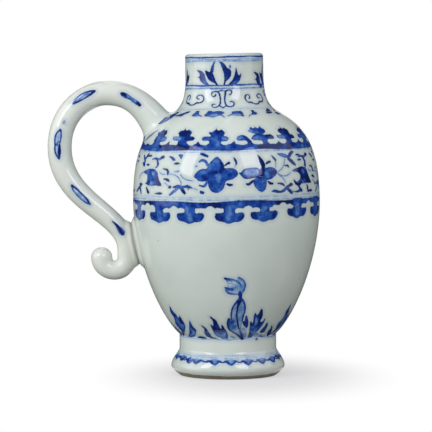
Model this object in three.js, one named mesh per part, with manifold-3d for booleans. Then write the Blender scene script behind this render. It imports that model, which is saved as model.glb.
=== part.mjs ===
// A hand-thrown porcelain jug: a flat-based foot, two body halves, a neck and a rolled handle
// with a curled tail, each made apart and luted to its neighbour with a bed of slip.
// Millimetres, +Z up. The origin is the centre of the flat base, and the handle is on the -X side.
import * as THREE from 'three';
import { mergeVertices } from 'three/addons/utils/BufferGeometryUtils.js';
import Module from 'manifold-3d';

const wasm = await Module();
wasm.setup();

// Height of each thrown section
const footHeight = 28.4;
const lowerBodyHeight = 92;
const upperBodyHeight = 61;
const neckHeight = 40.2;

// Outer radii, from the base to the rim
const baseRadius = 33.6;
const footRadius = 39.5;
const waistRadius = 33.7;
const bellyRadius = 65;
const neckJointRadius = 37;
const neckRadius = 27.1;

// Walls and floor
const footWall = 5.4;
const bodyWall = 4.5;
const neckWall = 4.2;
const floorThickness = 7;
const floorFillet = 4;

// Foot: height of its widest line and of the start of its straight waist, and the lean of its bevelled edge
const footRimHeight = 6.6;
const waistHeight = 18.8;
const footRimTangent = 2.2;
const baseBevelAngle = THREE.MathUtils.degToRad(50);
const footFlareTangent = 4.5;
const footWaistTangent = 2.2;

// Pull of each profile curve at its two ends, and its lean from the vertical where it isn't upright
const lowerFlareAngle = THREE.MathUtils.degToRad(48.6);
const lowerFlareTangent = 17.5;
const lowerBellyTangent = 40;
const upperBellyTangent = 35.2;
const shoulderAngle = THREE.MathUtils.degToRad(60.8);
const shoulderTangent = 22.4;
const neckFlareTangent = 9.8;
const neckFlareHeight = 27.7;
const neckStraightTangent = 14.6;

// Slip beds: thickness of a bed, and the clearance that a cut piece keeps to what it seats on
const slipThickness = 0.6;
const seatClearance = 0.3;
const rootSlipRim = 1.6;
const contactSlipHeight = 25;
const contactSlipDepth = 6;

// Handle: where it meets the body, how far its loop reaches, and the curl of its tail
const rootDrop = 7;
const rootBurial = 7;
const rootAngle = THREE.MathUtils.degToRad(28.3);
const rootTangent = 24.3;
const archReach = 35.1;
const archRise = 21.9;
const archInnerTangent = 14.9;
const archOuterTangent = 12;
const archDrop = 38;
const fingerGap = 42;
const gripTangent = 26.4;
const gripDropTangent = 38.9;
const contactDrop = 33.1;
const contactTangent = 26;
const tailLength = 5.5;
const curlRadius = 8.9;

// Handle thickness at its root, arch, grip, lower contact, the bottom of the curl and the knob
const rootThickness = 24.9;
const archThickness = 17.3;
const gripThickness = 16.7;
const contactThickness = 13.7;
const curlThickness = 13.5;
const knobThickness = 14.8;
const handleOval = 1.08;

// Facets
const turns = 48;
const curveSteps = 10;
const flareSteps = 6;
const lipSteps = 6;
const handleSteps = 60;
const handleSides = 16;
const knobSteps = 4;
const padSides = 20;

// Heights where the sections and their slip beds meet
const lowerBodyBase = footHeight + slipThickness;
const bellyHeight = lowerBodyBase + lowerBodyHeight;
const upperBodyBase = bellyHeight + slipThickness;
const upperBodyTop = upperBodyBase + upperBodyHeight;
const neckBase = upperBodyTop + slipThickness;
const rimHeight = neckBase + neckHeight;

const porcelain = new THREE.MeshStandardMaterial({ color: 0xd5dbd5, roughness: 0.12, metalness: 0 });
const slip = new THREE.MeshStandardMaterial({ color: 0xcfcdc2, roughness: 0.6, metalness: 0 });

const point = (radius, height) => new THREE.Vector2(radius, height);

// The outside of one section as { radius, height, slant }, bottom to top. Slant is the wall's
// horizontal thickness for each millimetre of true thickness, which a leaning wall makes larger.
function traceOutside(curve, steps) {
  return Array.from({ length: steps + 1 }, (_, i) => {
    const at = curve.getPoint(i / steps);
    return { radius: at.x, height: at.y, slant: 1 / curve.getTangent(i / steps).y };
  });
}

function leaning(from, angle, length) {
  return point(from.x + length * Math.sin(angle), from.y + length * Math.cos(angle));
}

function lowerBodyCurve() {
  const bottom = point(waistRadius, lowerBodyBase);
  const top = point(bellyRadius, bellyHeight);
  return new THREE.CubicBezierCurve(
    bottom,
    leaning(bottom, lowerFlareAngle, lowerFlareTangent),
    point(bellyRadius, bellyHeight - lowerBellyTangent),
    top
  );
}

function upperBodyCurve() {
  const bottom = point(bellyRadius, upperBodyBase);
  const top = point(neckJointRadius, upperBodyTop);
  return new THREE.CubicBezierCurve(
    bottom,
    point(bellyRadius, upperBodyBase + upperBellyTangent),
    leaning(top, -shoulderAngle, -shoulderTangent),
    top
  );
}

function neckFlareCurve() {
  const bottom = point(neckJointRadius, neckBase);
  const top = point(neckRadius, neckBase + neckFlareHeight);
  return new THREE.CubicBezierCurve(
    bottom,
    leaning(bottom, -shoulderAngle, neckFlareTangent),
    point(neckRadius, top.y - neckStraightTangent),
    top
  );
}

const lowerBodyOutside = traceOutside(lowerBodyCurve(), curveSteps);
const upperBodyOutside = traceOutside(upperBodyCurve(), curveSteps);
const neckOutside = traceOutside(neckFlareCurve(), flareSteps);
const lipRadius = neckWall / 2;
neckOutside.push({ radius: neckRadius, height: rimHeight - lipRadius, slant: 1 });

// A closed outline in radius and height, anticlockwise, turned about the upright axis.
function turned(outline) {
  return new THREE.LatheGeometry(outline, turns).rotateX(Math.PI / 2);
}

// Keeps only positions, so that the seam's shared vertices can merge, and drops the slivers at the axis.
function closedMesh(geometry) {
  const bare = geometry.clone();
  bare.deleteAttribute('normal');
  bare.deleteAttribute('uv');
  const merged = mergeVertices(bare, 1e-3);
  const corners = [];
  for (let i = 0; i < merged.index.count; i += 3) {
    const [a, b, c] = [0, 1, 2].map((k) => merged.index.getX(i + k));
    if (a !== b && b !== c && c !== a) corners.push(a, b, c);
  }
  return merged.setIndex(corners);
}

function solid(geometry) {
  const closed = closedMesh(geometry);
  return new wasm.Manifold(
    new wasm.Mesh({
      numProp: 3,
      vertProperties: new Float32Array(closed.attributes.position.array),
      triVerts: new Uint32Array(closed.index.array),
    })
  );
}

function geometryOf(manifold) {
  const mesh = manifold.getMesh();
  return new THREE.BufferGeometry()
    .setAttribute('position', new THREE.BufferAttribute(mesh.vertProperties, 3))
    .setIndex(new THREE.BufferAttribute(mesh.triVerts, 1));
}

// Thrown sections

function footGeometry() {
  const wallRadius = waistRadius - footWall;
  const rim = new THREE.CubicBezierCurve(
    point(baseRadius, 0),
    leaning(point(baseRadius, 0), baseBevelAngle, footRimTangent),
    point(footRadius, footRimHeight - footRimTangent),
    point(footRadius, footRimHeight)
  );
  const flare = new THREE.CubicBezierCurve(
    point(footRadius, footRimHeight),
    point(footRadius, footRimHeight + footFlareTangent),
    point(waistRadius, waistHeight - footWaistTangent),
    point(waistRadius, waistHeight)
  );
  const well = new THREE.EllipseCurve(
    wallRadius - floorFillet, floorThickness + floorFillet, floorFillet, floorFillet, 0, -Math.PI / 2, true
  );
  return turned([
    point(0, 0),
    ...rim.getPoints(flareSteps),
    ...flare.getPoints(flareSteps).slice(1),
    point(waistRadius, footHeight),
    point(wallRadius, footHeight),
    ...well.getPoints(lipSteps),
    point(0, floorThickness),
  ]);
}

function wallGeometry(outside, wall, lip = []) {
  const outer = outside.map(({ radius, height }) => point(radius, height));
  const inner = outside.map(({ radius, height, slant }) => point(radius - wall * slant, height));
  return turned([...outer, ...lip, ...inner.reverse(), outer[0]]);
}

function neckGeometry() {
  const lip = new THREE.EllipseCurve(
    neckRadius - lipRadius, rimHeight - lipRadius, lipRadius, lipRadius, 0, Math.PI, false
  );
  return wallGeometry(neckOutside, neckWall, lip.getPoints(lipSteps).slice(1, -1));
}

function slipRing(outerRadius, thickness, height) {
  const top = height + slipThickness;
  const innerRadius = outerRadius - thickness;
  return turned([
    point(outerRadius, height),
    point(outerRadius, top),
    point(innerRadius, top),
    point(innerRadius, height),
    point(outerRadius, height),
  ]);
}

// The outside of the body and neck, grown by a clearance, as one solid to cut the handle with.
const outside = [...lowerBodyOutside, ...upperBodyOutside, ...neckOutside];

function grownBody(clearance) {
  const wall = outside.map(({ radius, height, slant }) => point(radius + clearance * slant, height));
  return solid(turned([point(0, lowerBodyBase), ...wall, point(0, rimHeight - lipRadius)]));
}

function outsideRadius(height) {
  const above = outside.findIndex((row) => row.height >= height);
  const [low, high] = [outside[above - 1], outside[above]];
  const share = (height - low.height) / (high.height - low.height);
  return THREE.MathUtils.lerp(low.radius, high.radius, share);
}

// Handle: a path in the XZ plane, drawn with its reach as a positive radius and mirrored to -X at the end

const contactSeat = slipThickness + 3 * seatClearance;
const rootCut = slipThickness + 2 * seatClearance;
const rootHeight = upperBodyTop - rootDrop;
const root = point(outsideRadius(rootHeight), rootHeight);
const rootStart = leaning(root, rootAngle, -rootBurial);
const archTop = point(root.x + archReach, rootHeight + archRise);
const grip = point(bellyRadius + fingerGap + gripThickness / 2, archTop.y - archDrop);
const contactHeight = bellyHeight - contactDrop;
const contactSurface = outsideRadius(contactHeight);
const contact = point(contactSurface + contactSeat + contactThickness / 2, contactHeight);
const curlCentre = point(contact.x + curlRadius, contactHeight - tailLength);

function handlePath() {
  const rootPull = leaning(rootStart, rootAngle, rootTangent);
  const path = new THREE.Path();
  path.moveTo(rootStart.x, rootStart.y);
  path.bezierCurveTo(
    rootPull.x, rootPull.y, archTop.x - archInnerTangent, archTop.y, archTop.x, archTop.y
  );
  path.bezierCurveTo(
    archTop.x + archOuterTangent, archTop.y, grip.x, grip.y + gripTangent, grip.x, grip.y
  );
  path.bezierCurveTo(
    grip.x, grip.y - gripDropTangent, contact.x, contact.y + contactTangent, contact.x, contact.y
  );
  path.lineTo(contact.x, curlCentre.y);
  path.absarc(curlCentre.x, curlCentre.y, curlRadius, Math.PI, 1.5 * Math.PI, false);
  path.absarc(curlCentre.x, curlCentre.y, curlRadius, 1.5 * Math.PI, 2 * Math.PI, false);
  return path;
}

const path = handlePath();
const spanEnds = path.getCurveLengths();
const pathLength = spanEnds.at(-1);
const spanThickness = [
  rootThickness, archThickness, gripThickness, contactThickness, contactThickness, curlThickness, knobThickness,
];

// The root flares out fast where it meets the shoulder; every other change of thickness is gradual.
function thicknessAt(share) {
  const length = share * pathLength;
  const span = Math.max(0, spanEnds.findIndex((end) => length <= end + 1e-6));
  const start = span === 0 ? 0 : spanEnds[span - 1];
  const along = THREE.MathUtils.clamp((length - start) / (spanEnds[span] - start), 0, 1);
  const blend = span === 0 ? 1 - (1 - along) ** 3 : along * along * (3 - 2 * along);
  return THREE.MathUtils.lerp(spanThickness[span], spanThickness[span + 1], blend);
}

function handleGeometry(clearance) {
  const positions = [];
  const addRing = (centre, tangent, half) => {
    for (let side = 0; side < handleSides; side++) {
      const angle = (2 * Math.PI * side) / handleSides;
      const across = half * Math.cos(angle);
      const radius = centre.x - tangent.y * across;
      positions.push(-radius, handleOval * half * Math.sin(angle), centre.y + tangent.x * across);
    }
  };
  for (let step = 0; step <= handleSteps; step++) {
    const share = step / handleSteps;
    addRing(path.getPoint(share), path.getTangent(share), thicknessAt(share) / 2 + clearance);
  }
  const end = path.getPoint(1);
  const endTangent = path.getTangent(1);
  const knobHalf = knobThickness / 2 + clearance;
  for (let step = 1; step < knobSteps; step++) {
    const angle = (Math.PI / 2) * (step / knobSteps);
    const centre = end.clone().addScaledVector(endTangent, knobHalf * Math.sin(angle));
    addRing(centre, endTangent, knobHalf * Math.cos(angle));
  }
  const tip = end.clone().addScaledVector(endTangent, knobHalf);
  positions.push(-rootStart.x, 0, rootStart.y, -tip.x, 0, tip.y);

  const rings = handleSteps + knobSteps;
  const rootCap = rings * handleSides;
  const corners = [];
  for (let side = 0; side < handleSides; side++) {
    const next = (side + 1) % handleSides;
    for (let ring = 0; ring < rings - 1; ring++) {
      const [a, b] = [ring * handleSides + side, ring * handleSides + next];
      const [c, d] = [a + handleSides, b + handleSides];
      corners.push(a, b, c, b, d, c);
    }
    const last = (rings - 1) * handleSides;
    corners.push(rootCap, next, side, rootCap + 1, last + side, last + next);
  }
  return new THREE.BufferGeometry()
    .setAttribute('position', new THREE.Float32BufferAttribute(positions, 3))
    .setIndex(corners);
}

function handleSolid() {
  return solid(handleGeometry(0)).subtract(grownBody(rootCut));
}

// Slip under the handle's root: a disc that follows the shoulder, a little wider than the root.
function rootSlip() {
  const reach = rootThickness / 2 + rootSlipRim;
  const ball = new THREE.SphereGeometry(reach, padSides, padSides / 2).translate(-root.x, 0, root.y);
  return solid(ball)
    .intersect(grownBody(seatClearance + slipThickness))
    .subtract(grownBody(seatClearance));
}

// Slip in the wedge between the belly and the lower bend of the handle.
function contactSlip() {
  const seat = contactSurface + contactSeat / 2;
  const lens = new THREE.SphereGeometry(0.5, padSides, padSides / 2)
    .scale(contactSlipDepth, contactThickness, contactSlipHeight)
    .translate(-seat, 0, contactHeight);
  return solid(lens).subtract(grownBody(seatClearance)).subtract(solid(handleGeometry(seatClearance)));
}

// Assembly

const jug = new THREE.Group();

function addPiece(name, geometry, material) {
  const mesh = new THREE.Mesh(geometry, material);
  mesh.name = name;
  jug.add(mesh);
}

const shoulderSlant = upperBodyOutside.at(-1).slant;

addPiece('foot', footGeometry(), porcelain);
addPiece('foot_slip_joint', slipRing(waistRadius, footWall, footHeight), slip);
addPiece('lower_body', wallGeometry(lowerBodyOutside, bodyWall), porcelain);
addPiece('belly_slip_joint', slipRing(bellyRadius, bodyWall, bellyHeight), slip);
addPiece('upper_body', wallGeometry(upperBodyOutside, bodyWall), porcelain);
addPiece('neck_slip_joint', slipRing(neckJointRadius, neckWall * shoulderSlant, upperBodyTop), slip);
addPiece('neck', neckGeometry(), porcelain);
addPiece('handle', geometryOf(handleSolid()), porcelain);
addPiece('handle_root_slip_joint', geometryOf(rootSlip()), slip);
addPiece('handle_tail_slip_joint', geometryOf(contactSlip()), slip);

export default jug;
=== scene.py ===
import math

import bpy
import numpy as np
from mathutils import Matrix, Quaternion, Vector


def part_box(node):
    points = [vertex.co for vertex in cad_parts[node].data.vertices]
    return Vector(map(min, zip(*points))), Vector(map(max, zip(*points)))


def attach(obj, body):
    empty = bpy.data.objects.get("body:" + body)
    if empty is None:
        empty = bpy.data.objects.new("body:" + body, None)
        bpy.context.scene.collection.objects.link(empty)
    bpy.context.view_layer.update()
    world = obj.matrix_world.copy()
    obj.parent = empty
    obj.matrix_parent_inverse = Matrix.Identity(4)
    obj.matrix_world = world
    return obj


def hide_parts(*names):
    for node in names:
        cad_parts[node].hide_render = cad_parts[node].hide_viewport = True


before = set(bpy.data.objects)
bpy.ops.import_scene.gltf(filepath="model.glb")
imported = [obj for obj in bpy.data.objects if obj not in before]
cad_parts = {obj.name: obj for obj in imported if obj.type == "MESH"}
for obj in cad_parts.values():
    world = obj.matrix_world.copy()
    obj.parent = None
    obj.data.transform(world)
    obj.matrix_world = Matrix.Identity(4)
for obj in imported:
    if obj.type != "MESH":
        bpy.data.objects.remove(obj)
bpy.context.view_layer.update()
mm = 0.001  # the scene is in metres; every size below is in millimetres
print("frame loaded:", len(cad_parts), "nodes")


def addNode(tree, kind, inputs=None, **settings):
    node = tree.nodes.new(kind)
    for name, value in settings.items():
        setattr(node, name, value)
    for socket, value in (inputs or {}).items():
        if isinstance(value, bpy.types.NodeSocket):
            tree.links.new(value, node.inputs[socket])
        else:
            node.inputs[socket].default_value = value
    return node


def hexColour(text):  # sRGB hex to linear
    levels = [int(text[i:i + 2], 16) / 255 for i in (1, 3, 5)]
    linear = [c / 12.92 if c <= 0.04045 else ((c + 0.055) / 1.055) ** 2.4 for c in levels]
    return (*linear, 1)


def perMm(size):  # texture scale on Object coordinates for a pattern of this size
    return 1 / (size * mm)


waveTurn = math.tau / 20  # a wave texture goes through 20 radians in one unit


def smoothstep(share):
    share = np.clip(share, 0, 1)
    return share * share * (3 - 2 * share)


outOfReach = 99.0  # mm, where a search for the nearest thing starts

# the thrown outside

jugShape = {
    "baseRadius": 33.6, "footRadius": 39.5, "waistRadius": 33.7,
    "bellyRadius": 65, "neckJointRadius": 37, "neckRadius": 27.1,
    "footRimHeight": 6.6, "waistHeight": 18.8, "footRimTangent": 2.2, "baseBevelAngle": 50,
    "footFlareTangent": 4.5, "footWaistTangent": 2.2,
    "lowerFlareAngle": 48.6, "lowerFlareTangent": 17.5, "lowerBellyTangent": 40,
    "upperBellyTangent": 35.2, "shoulderAngle": 60.8, "shoulderTangent": 22.4,
    "neckFlareTangent": 9.8, "neckFlareHeight": 27.7, "neckStraightTangent": 14.6,
    "footWall": 5.4, "bodyWall": 4.5, "neckWall": 4.2, "floorThickness": 7, "floorFillet": 4,
}


def midHeight(node):  # the middle of a slip bed, where two glazed pieces meet
    low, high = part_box(node)
    return (low.z + high.z) / 2 / mm


waistJoint = midHeight("foot_slip_joint")
bellyJoint = midHeight("belly_slip_joint")
neckJoint = midHeight("neck_slip_joint")
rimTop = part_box("neck")[1].z / mm


def bezier(start, startPull, endPull, end, steps=160):
    t = np.linspace(0, 1, steps + 1)[:, None]
    a, b, c, d = (np.array(p, float) for p in (start, startPull, endPull, end))
    return (1 - t) ** 3 * a + 3 * t * (1 - t) ** 2 * b + 3 * t * t * (1 - t) * c + t ** 3 * d


def leaning(start, degrees, length):
    angle = math.radians(degrees)
    return (start[0] + length * math.sin(angle), start[1] + length * math.cos(angle))


def thrownOutside():
    s = jugShape
    base = (s["baseRadius"], 0)
    rimEdge = (s["footRadius"], s["footRimHeight"])
    waist = (s["waistRadius"], s["waistHeight"])
    bottom = (s["waistRadius"], waistJoint)
    belly = (s["bellyRadius"], bellyJoint)
    shoulder = (s["neckJointRadius"], neckJoint)
    throat = (s["neckRadius"], neckJoint + s["neckFlareHeight"])
    lip = (s["neckRadius"], rimTop - s["neckWall"] / 2)
    curves = [
        bezier(base, leaning(base, s["baseBevelAngle"], s["footRimTangent"]),
               (rimEdge[0], rimEdge[1] - s["footRimTangent"]), rimEdge),
        bezier(rimEdge, (rimEdge[0], rimEdge[1] + s["footFlareTangent"]),
               (waist[0], waist[1] - s["footWaistTangent"]), waist),
        bezier(waist, waist, bottom, bottom),
        bezier(bottom, leaning(bottom, s["lowerFlareAngle"], s["lowerFlareTangent"]),
               (belly[0], belly[1] - s["lowerBellyTangent"]), belly),
        bezier(belly, (belly[0], belly[1] + s["upperBellyTangent"]),
               leaning(shoulder, -s["shoulderAngle"], -s["shoulderTangent"]), shoulder),
        bezier(shoulder, leaning(shoulder, -s["shoulderAngle"], s["neckFlareTangent"]),
               (throat[0], throat[1] - s["neckStraightTangent"]), throat),
        bezier(throat, throat, lip, lip),
    ]
    return np.vstack([curves[0]] + [curve[1:] for curve in curves[1:]])


outside = thrownOutside()
outsideStep = np.hypot(*np.diff(outside, axis=0).T)
outsideRun = np.concatenate([[0], np.cumsum(outsideStep)])  # length along the outside, in mm
bellyRow = int(np.argmin(np.abs(outside[:, 1] - bellyJoint)))
outsideRun -= outsideRun[bellyRow]  # zero on the belly joint, up is positive


def runAt(height):
    return float(np.interp(height, outside[:, 1], outsideRun))


def outsideAt(run):  # radius and height at a length along the outside
    return np.column_stack([np.interp(run, outsideRun, outside[:, i]) for i in (0, 1)])


def radiusAt(height):
    return np.interp(height, outside[:, 1], outside[:, 0])


def slopeAt(height, reach=0.5):
    return (radiusAt(height + reach) - radiusAt(height - reach)) / (2 * reach)


def slantAt(height):  # a leaning wall's level thickness per millimetre of true thickness
    return np.sqrt(1 + slopeAt(height) ** 2)


# the handle's path, with its reach as a positive radius towards -X

handleShape = {
    "rootDrop": 7.3, "rootBurial": 7, "rootAngle": 28.3, "rootTangent": 24.3,
    "archReach": 35.1, "archRise": 21.9, "archInnerTangent": 14.9, "archOuterTangent": 12, "archDrop": 38,
    "fingerGap": 42, "gripTangent": 26.4, "gripDropTangent": 38.9,
    "contactDrop": 33.4, "contactTangent": 26, "contactGap": 1.5, "tailLength": 5.5, "curlRadius": 8.9,
    "thickness": (24.9, 17.3, 16.7, 13.7, 13.7, 13.5, 14.8),  # root, arch, grip, contact, tail, curl, knob
    "oval": 1.08, "step": 0.8, "sides": 96, "quarterSteps": 60,
    "knobSteps": 14, "tipReach": 0.999, "tipHalf": 0.2,
}


def handlePath():
    s = handleShape
    thickness = s["thickness"]
    rootHeight = neckJoint - s["rootDrop"]
    root = (float(radiusAt(rootHeight)), rootHeight)
    start = leaning(root, s["rootAngle"], -s["rootBurial"])
    arch = (root[0] + s["archReach"], root[1] + s["archRise"])
    grip = (jugShape["bellyRadius"] + s["fingerGap"] + thickness[2] / 2, arch[1] - s["archDrop"])
    contactHeight = bellyJoint - s["contactDrop"]
    contactX = float(radiusAt(contactHeight)) + s["contactGap"] + thickness[3] / 2
    contact = (contactX, contactHeight)
    tail = (contactX, contactHeight - s["tailLength"])
    centre = (contactX + s["curlRadius"], tail[1])
    quarter = np.linspace(0, math.pi / 2, s["quarterSteps"])[:, None]
    arc = np.hstack([-np.cos(quarter), -np.sin(quarter)]) * s["curlRadius"] + centre
    backArc = np.hstack([np.sin(quarter), -np.cos(quarter)]) * s["curlRadius"] + centre
    spans = [
        bezier(start, leaning(start, s["rootAngle"], s["rootTangent"]),
               (arch[0] - s["archInnerTangent"], arch[1]), arch),
        bezier(arch, (arch[0] + s["archOuterTangent"], arch[1]), (grip[0], grip[1] + s["gripTangent"]), grip),
        bezier(grip, (grip[0], grip[1] - s["gripDropTangent"]),
               (contact[0], contact[1] + s["contactTangent"]), contact),
        bezier(contact, contact, tail, tail),
        arc,
        backArc,
    ]
    points, halves = [], []
    for i, span in enumerate(spans):
        share = np.linspace(0, 1, len(span))
        blend = smoothstep(share) if i else 1 - (1 - share) ** 3
        points.append(span[1:] if i else span)
        half = (thickness[i] + (thickness[i + 1] - thickness[i]) * blend) / 2
        halves.append(half[1:] if i else half)
    return np.vstack(points), np.concatenate(halves)


def evenHandle():  # the same path at an even step, then a rounded end
    s = handleShape
    points, halves = handlePath()
    length = np.concatenate([[0], np.cumsum(np.hypot(*np.diff(points, axis=0).T))])
    even = np.linspace(0, length[-1], int(length[-1] / s["step"]))
    centre = np.column_stack([np.interp(even, length, points[:, i]) for i in (0, 1)])
    half = np.interp(even, length, halves)
    ending = (centre[-1] - centre[-2]) / np.linalg.norm(centre[-1] - centre[-2])
    turn = np.linspace(0, math.pi / 2, s["knobSteps"])[1:-1]
    last = half[-1]
    reach = np.append(np.sin(turn), s["tipReach"]) * last
    centre = np.vstack([centre, centre[-1] + np.outer(reach, ending)])
    half = np.concatenate([half, np.cos(turn) * last, [s["tipHalf"]]])
    along = np.concatenate([even, even[-1] + np.sin(turn) * last, [even[-1] + last]])
    return centre, half, along


handleCentre, handleHalf, handleAlong = evenHandle()
handlePoints = np.column_stack([-handleCentre[:, 0], np.zeros(len(handleCentre)), handleCentre[:, 1]])


def handleAt(along):  # the path's point at a length from the root
    return np.column_stack([np.interp(along, handleAlong, handlePoints[:, i]) for i in range(3)])


def distanceToHandle(points):  # to its surface, taken as round
    best = np.full(len(points), outOfReach)
    for centre, half in zip(handlePoints[::2], handleHalf[::2]):
        best = np.minimum(best, np.linalg.norm(points - centre, axis=1) - half)
    return best


def distanceToBody(points):
    radius = np.hypot(points[:, 0], points[:, 1])
    return (radius - radiusAt(points[:, 2])) / slantAt(points[:, 2])


# luting: the slip is smoothed into a fillet wherever the handle meets the body

luting = {
    "rootFillet": 5.0, "tailRise": 2.6, "tailWeb": (3.6, 7), "rootAbove": 143,
    # the crease line where the tail meets the body is painted darker: brown dirt and painted shade
    "crease": 4.3, "creaseWidth": 0.9, "creaseDirtAndShade": 0.65,
    "nearestX": -20, "halfWidth": 30,  # the part of the body that the handle can touch
}


def filletRise(distance, height):
    width = luting["rootFillet"]
    fillet = np.clip(width - np.clip(distance, 0, None), 0, None) ** 2 / (4 * width)
    full, none = luting["tailWeb"]
    web = luting["tailRise"] * smoothstep((none - distance) / (none - full))
    return np.where(height > luting["rootAbove"], fillet, web)


def creaseDirtAndShadeAt(distance, height):  # brown dirt and painted shade in the line where the two sides of the tail's web meet
    away = np.abs(distance - luting["crease"]) / luting["creaseWidth"]
    return np.where(height < luting["rootAbove"], np.clip(1 - away, 0, 1) * luting["creaseDirtAndShade"], 0)


# the kiln: the jug leans a little towards its handle, more with height

kiln = {"leanAtFoot": 0.4, "leanAtRim": 1.2, "settledHeight": 30, "steps": 400, "aboveRim": 5}


def leanAt(height):
    turn = np.interp(height, [0, kiln["settledHeight"], rimTop], [0, kiln["leanAtFoot"], kiln["leanAtRim"]])
    return np.radians(turn)


leanHeights = np.linspace(0, rimTop + kiln["aboveRim"], kiln["steps"])
leanShift = np.concatenate([[0], np.cumsum(np.tan(leanAt(leanHeights))[1:] * np.diff(leanHeights))])


def kilnLean(points):
    bent = points.copy()
    lean = leanAt(points[:, 2])
    bent[:, 0] = points[:, 0] * np.cos(lean) - np.interp(points[:, 2], leanHeights, leanShift)
    bent[:, 2] = points[:, 2] + points[:, 0] * np.sin(lean)
    return bent


# Geometry Nodes: a section turned on the wheel, and a coil rolled along the handle's path


def nodeGroup(name, sockets):
    tree = bpy.data.node_groups.new(name, "GeometryNodeTree")
    tree.interface.new_socket("Geometry", in_out="INPUT", socket_type="NodeSocketGeometry")
    for label, kind in sockets:
        tree.interface.new_socket(label, in_out="INPUT", socket_type="NodeSocket" + kind)
    tree.interface.new_socket("Geometry", in_out="OUTPUT", socket_type="NodeSocketGeometry")
    return tree, addNode(tree, "NodeGroupInput").outputs


def closeGroup(tree, geometry, material):
    smooth = addNode(tree, "GeometryNodeSetShadeSmooth", {"Geometry": geometry})
    real = addNode(tree, "GeometryNodeRealizeInstances", {"Geometry": smooth.outputs[0]})
    glazed = addNode(tree, "GeometryNodeSetMaterial", {"Geometry": real.outputs[0], "Material": material})
    addNode(tree, "NodeGroupOutput", {"Geometry": glazed.outputs[0]})


def turnSectionTree():
    tree, given = nodeGroup("turnSection", [
        ("Wheel Radius", "Float"), ("Facets", "Int"), ("Weld", "Float"), ("Material", "Material")])
    outline = addNode(tree, "GeometryNodeMeshToCurve", {"Mesh": given["Geometry"]})
    wheel = addNode(tree, "GeometryNodeCurvePrimitiveCircle",
                    {"Resolution": given["Facets"], "Radius": given["Wheel Radius"]}, mode="RADIUS")
    level = addNode(tree, "GeometryNodeSetCurveNormal", {"Curve": wheel.outputs[0]}, mode="Z_UP")
    turned = addNode(tree, "GeometryNodeCurveToMesh",
                     {"Curve": level.outputs[0], "Profile Curve": outline.outputs[0]})
    welded = addNode(tree, "GeometryNodeMergeByDistance",
                     {"Geometry": turned.outputs[0], "Distance": given["Weld"]})
    closeGroup(tree, welded.outputs[0], given["Material"])
    return tree


def rollHandleTree():
    tree, given = nodeGroup("rollHandle", [("Sides", "Int"), ("Oval", "Float"), ("Material", "Material")])
    path = addNode(tree, "GeometryNodeMeshToCurve", {"Mesh": given["Geometry"]})
    half = addNode(tree, "GeometryNodeInputNamedAttribute", {"Name": "half"}, data_type="FLOAT")
    ring = addNode(tree, "GeometryNodeCurvePrimitiveCircle",
                   {"Resolution": given["Sides"], "Radius": 1.0}, mode="RADIUS")
    depth = addNode(tree, "ShaderNodeCombineXYZ", {"X": given["Oval"], "Y": 1.0, "Z": 1.0})
    oval = addNode(tree, "GeometryNodeTransform", {"Geometry": ring.outputs[0], "Scale": depth.outputs[0]})
    rolled = addNode(tree, "GeometryNodeCurveToMesh", {
        "Curve": path.outputs[0], "Profile Curve": oval.outputs[0], "Scale": half.outputs["Attribute"],
        "Fill Caps": True})
    closeGroup(tree, rolled.outputs[0], given["Material"])
    return tree


def growMesh(name, path, edges, attributes, tree, inputs):  # runs a tree on a polyline, gives a plain mesh
    seed = bpy.data.meshes.new(name + "_line")
    seed.from_pydata([tuple(p) for p in path], edges, [])
    for label, values in attributes.items():
        seed.attributes.new(label, "FLOAT", "POINT").data.foreach_set("value", np.asarray(values, np.float32))
    piece = bpy.data.objects.new(name, seed)
    bpy.context.scene.collection.objects.link(piece)
    modifier = piece.modifiers.new("making", "NODES")
    modifier.node_group = tree
    for socket in tree.interface.items_tree:
        if socket.in_out == "INPUT" and socket.name in inputs:
            modifier[socket.identifier] = inputs[socket.name]
    graph = bpy.context.evaluated_depsgraph_get()
    made = bpy.data.meshes.new_from_object(
        piece.evaluated_get(graph), preserve_all_data_layers=True, depsgraph=graph)
    piece.modifiers.clear()
    piece.data = made
    made.name = name
    bpy.data.meshes.remove(seed)
    return piece


def meshPoints(piece):  # in mm
    points = np.empty(len(piece.data.vertices) * 3, np.float32)
    piece.data.vertices.foreach_get("co", points)
    return points.reshape(-1, 3).astype(float) / mm


def movePoints(piece, points):
    piece.data.vertices.foreach_set("co", (points * mm).astype(np.float32).ravel())
    piece.data.update()


def readAttribute(piece, label):
    values = np.empty(len(piece.data.vertices), np.float32)
    piece.data.attributes[label].data.foreach_get("value", values)
    return values.astype(float)


def writeAttribute(piece, label, values):
    known = piece.data.attributes.get(label)
    layer = known or piece.data.attributes.new(label, "FLOAT", "POINT")
    layer.data.foreach_set("value", np.asarray(values, np.float32))


sharpAngle = 38  # degrees, past which an edge isn't shaded smooth


def facesOutward(piece):  # turns a mesh whose volume comes out negative
    mesh = piece.data
    mesh.calc_loop_triangles()
    corners = np.empty(len(mesh.loop_triangles) * 3, np.int32)
    mesh.loop_triangles.foreach_get("vertices", corners)
    a, b, c = meshPoints(piece)[corners].reshape(-1, 3, 3).transpose(1, 0, 2)
    if np.einsum("ij,ij->i", a, np.cross(b, c)).sum() < 0:
        mesh.flip_normals()
    mesh.set_sharp_from_angle(angle=math.radians(sharpAngle))


# brushwork: a motif is a list of (kind, tone, points) in mm round its own centre, x across and y up.
# Fills and bare patches are closed outlines, washes and lines are strokes with a width,
# and shades only darken or lighten what is painted.

fill, wash, line, bare, shade = "fill", "wash", "line", "bare", "shade"

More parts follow.
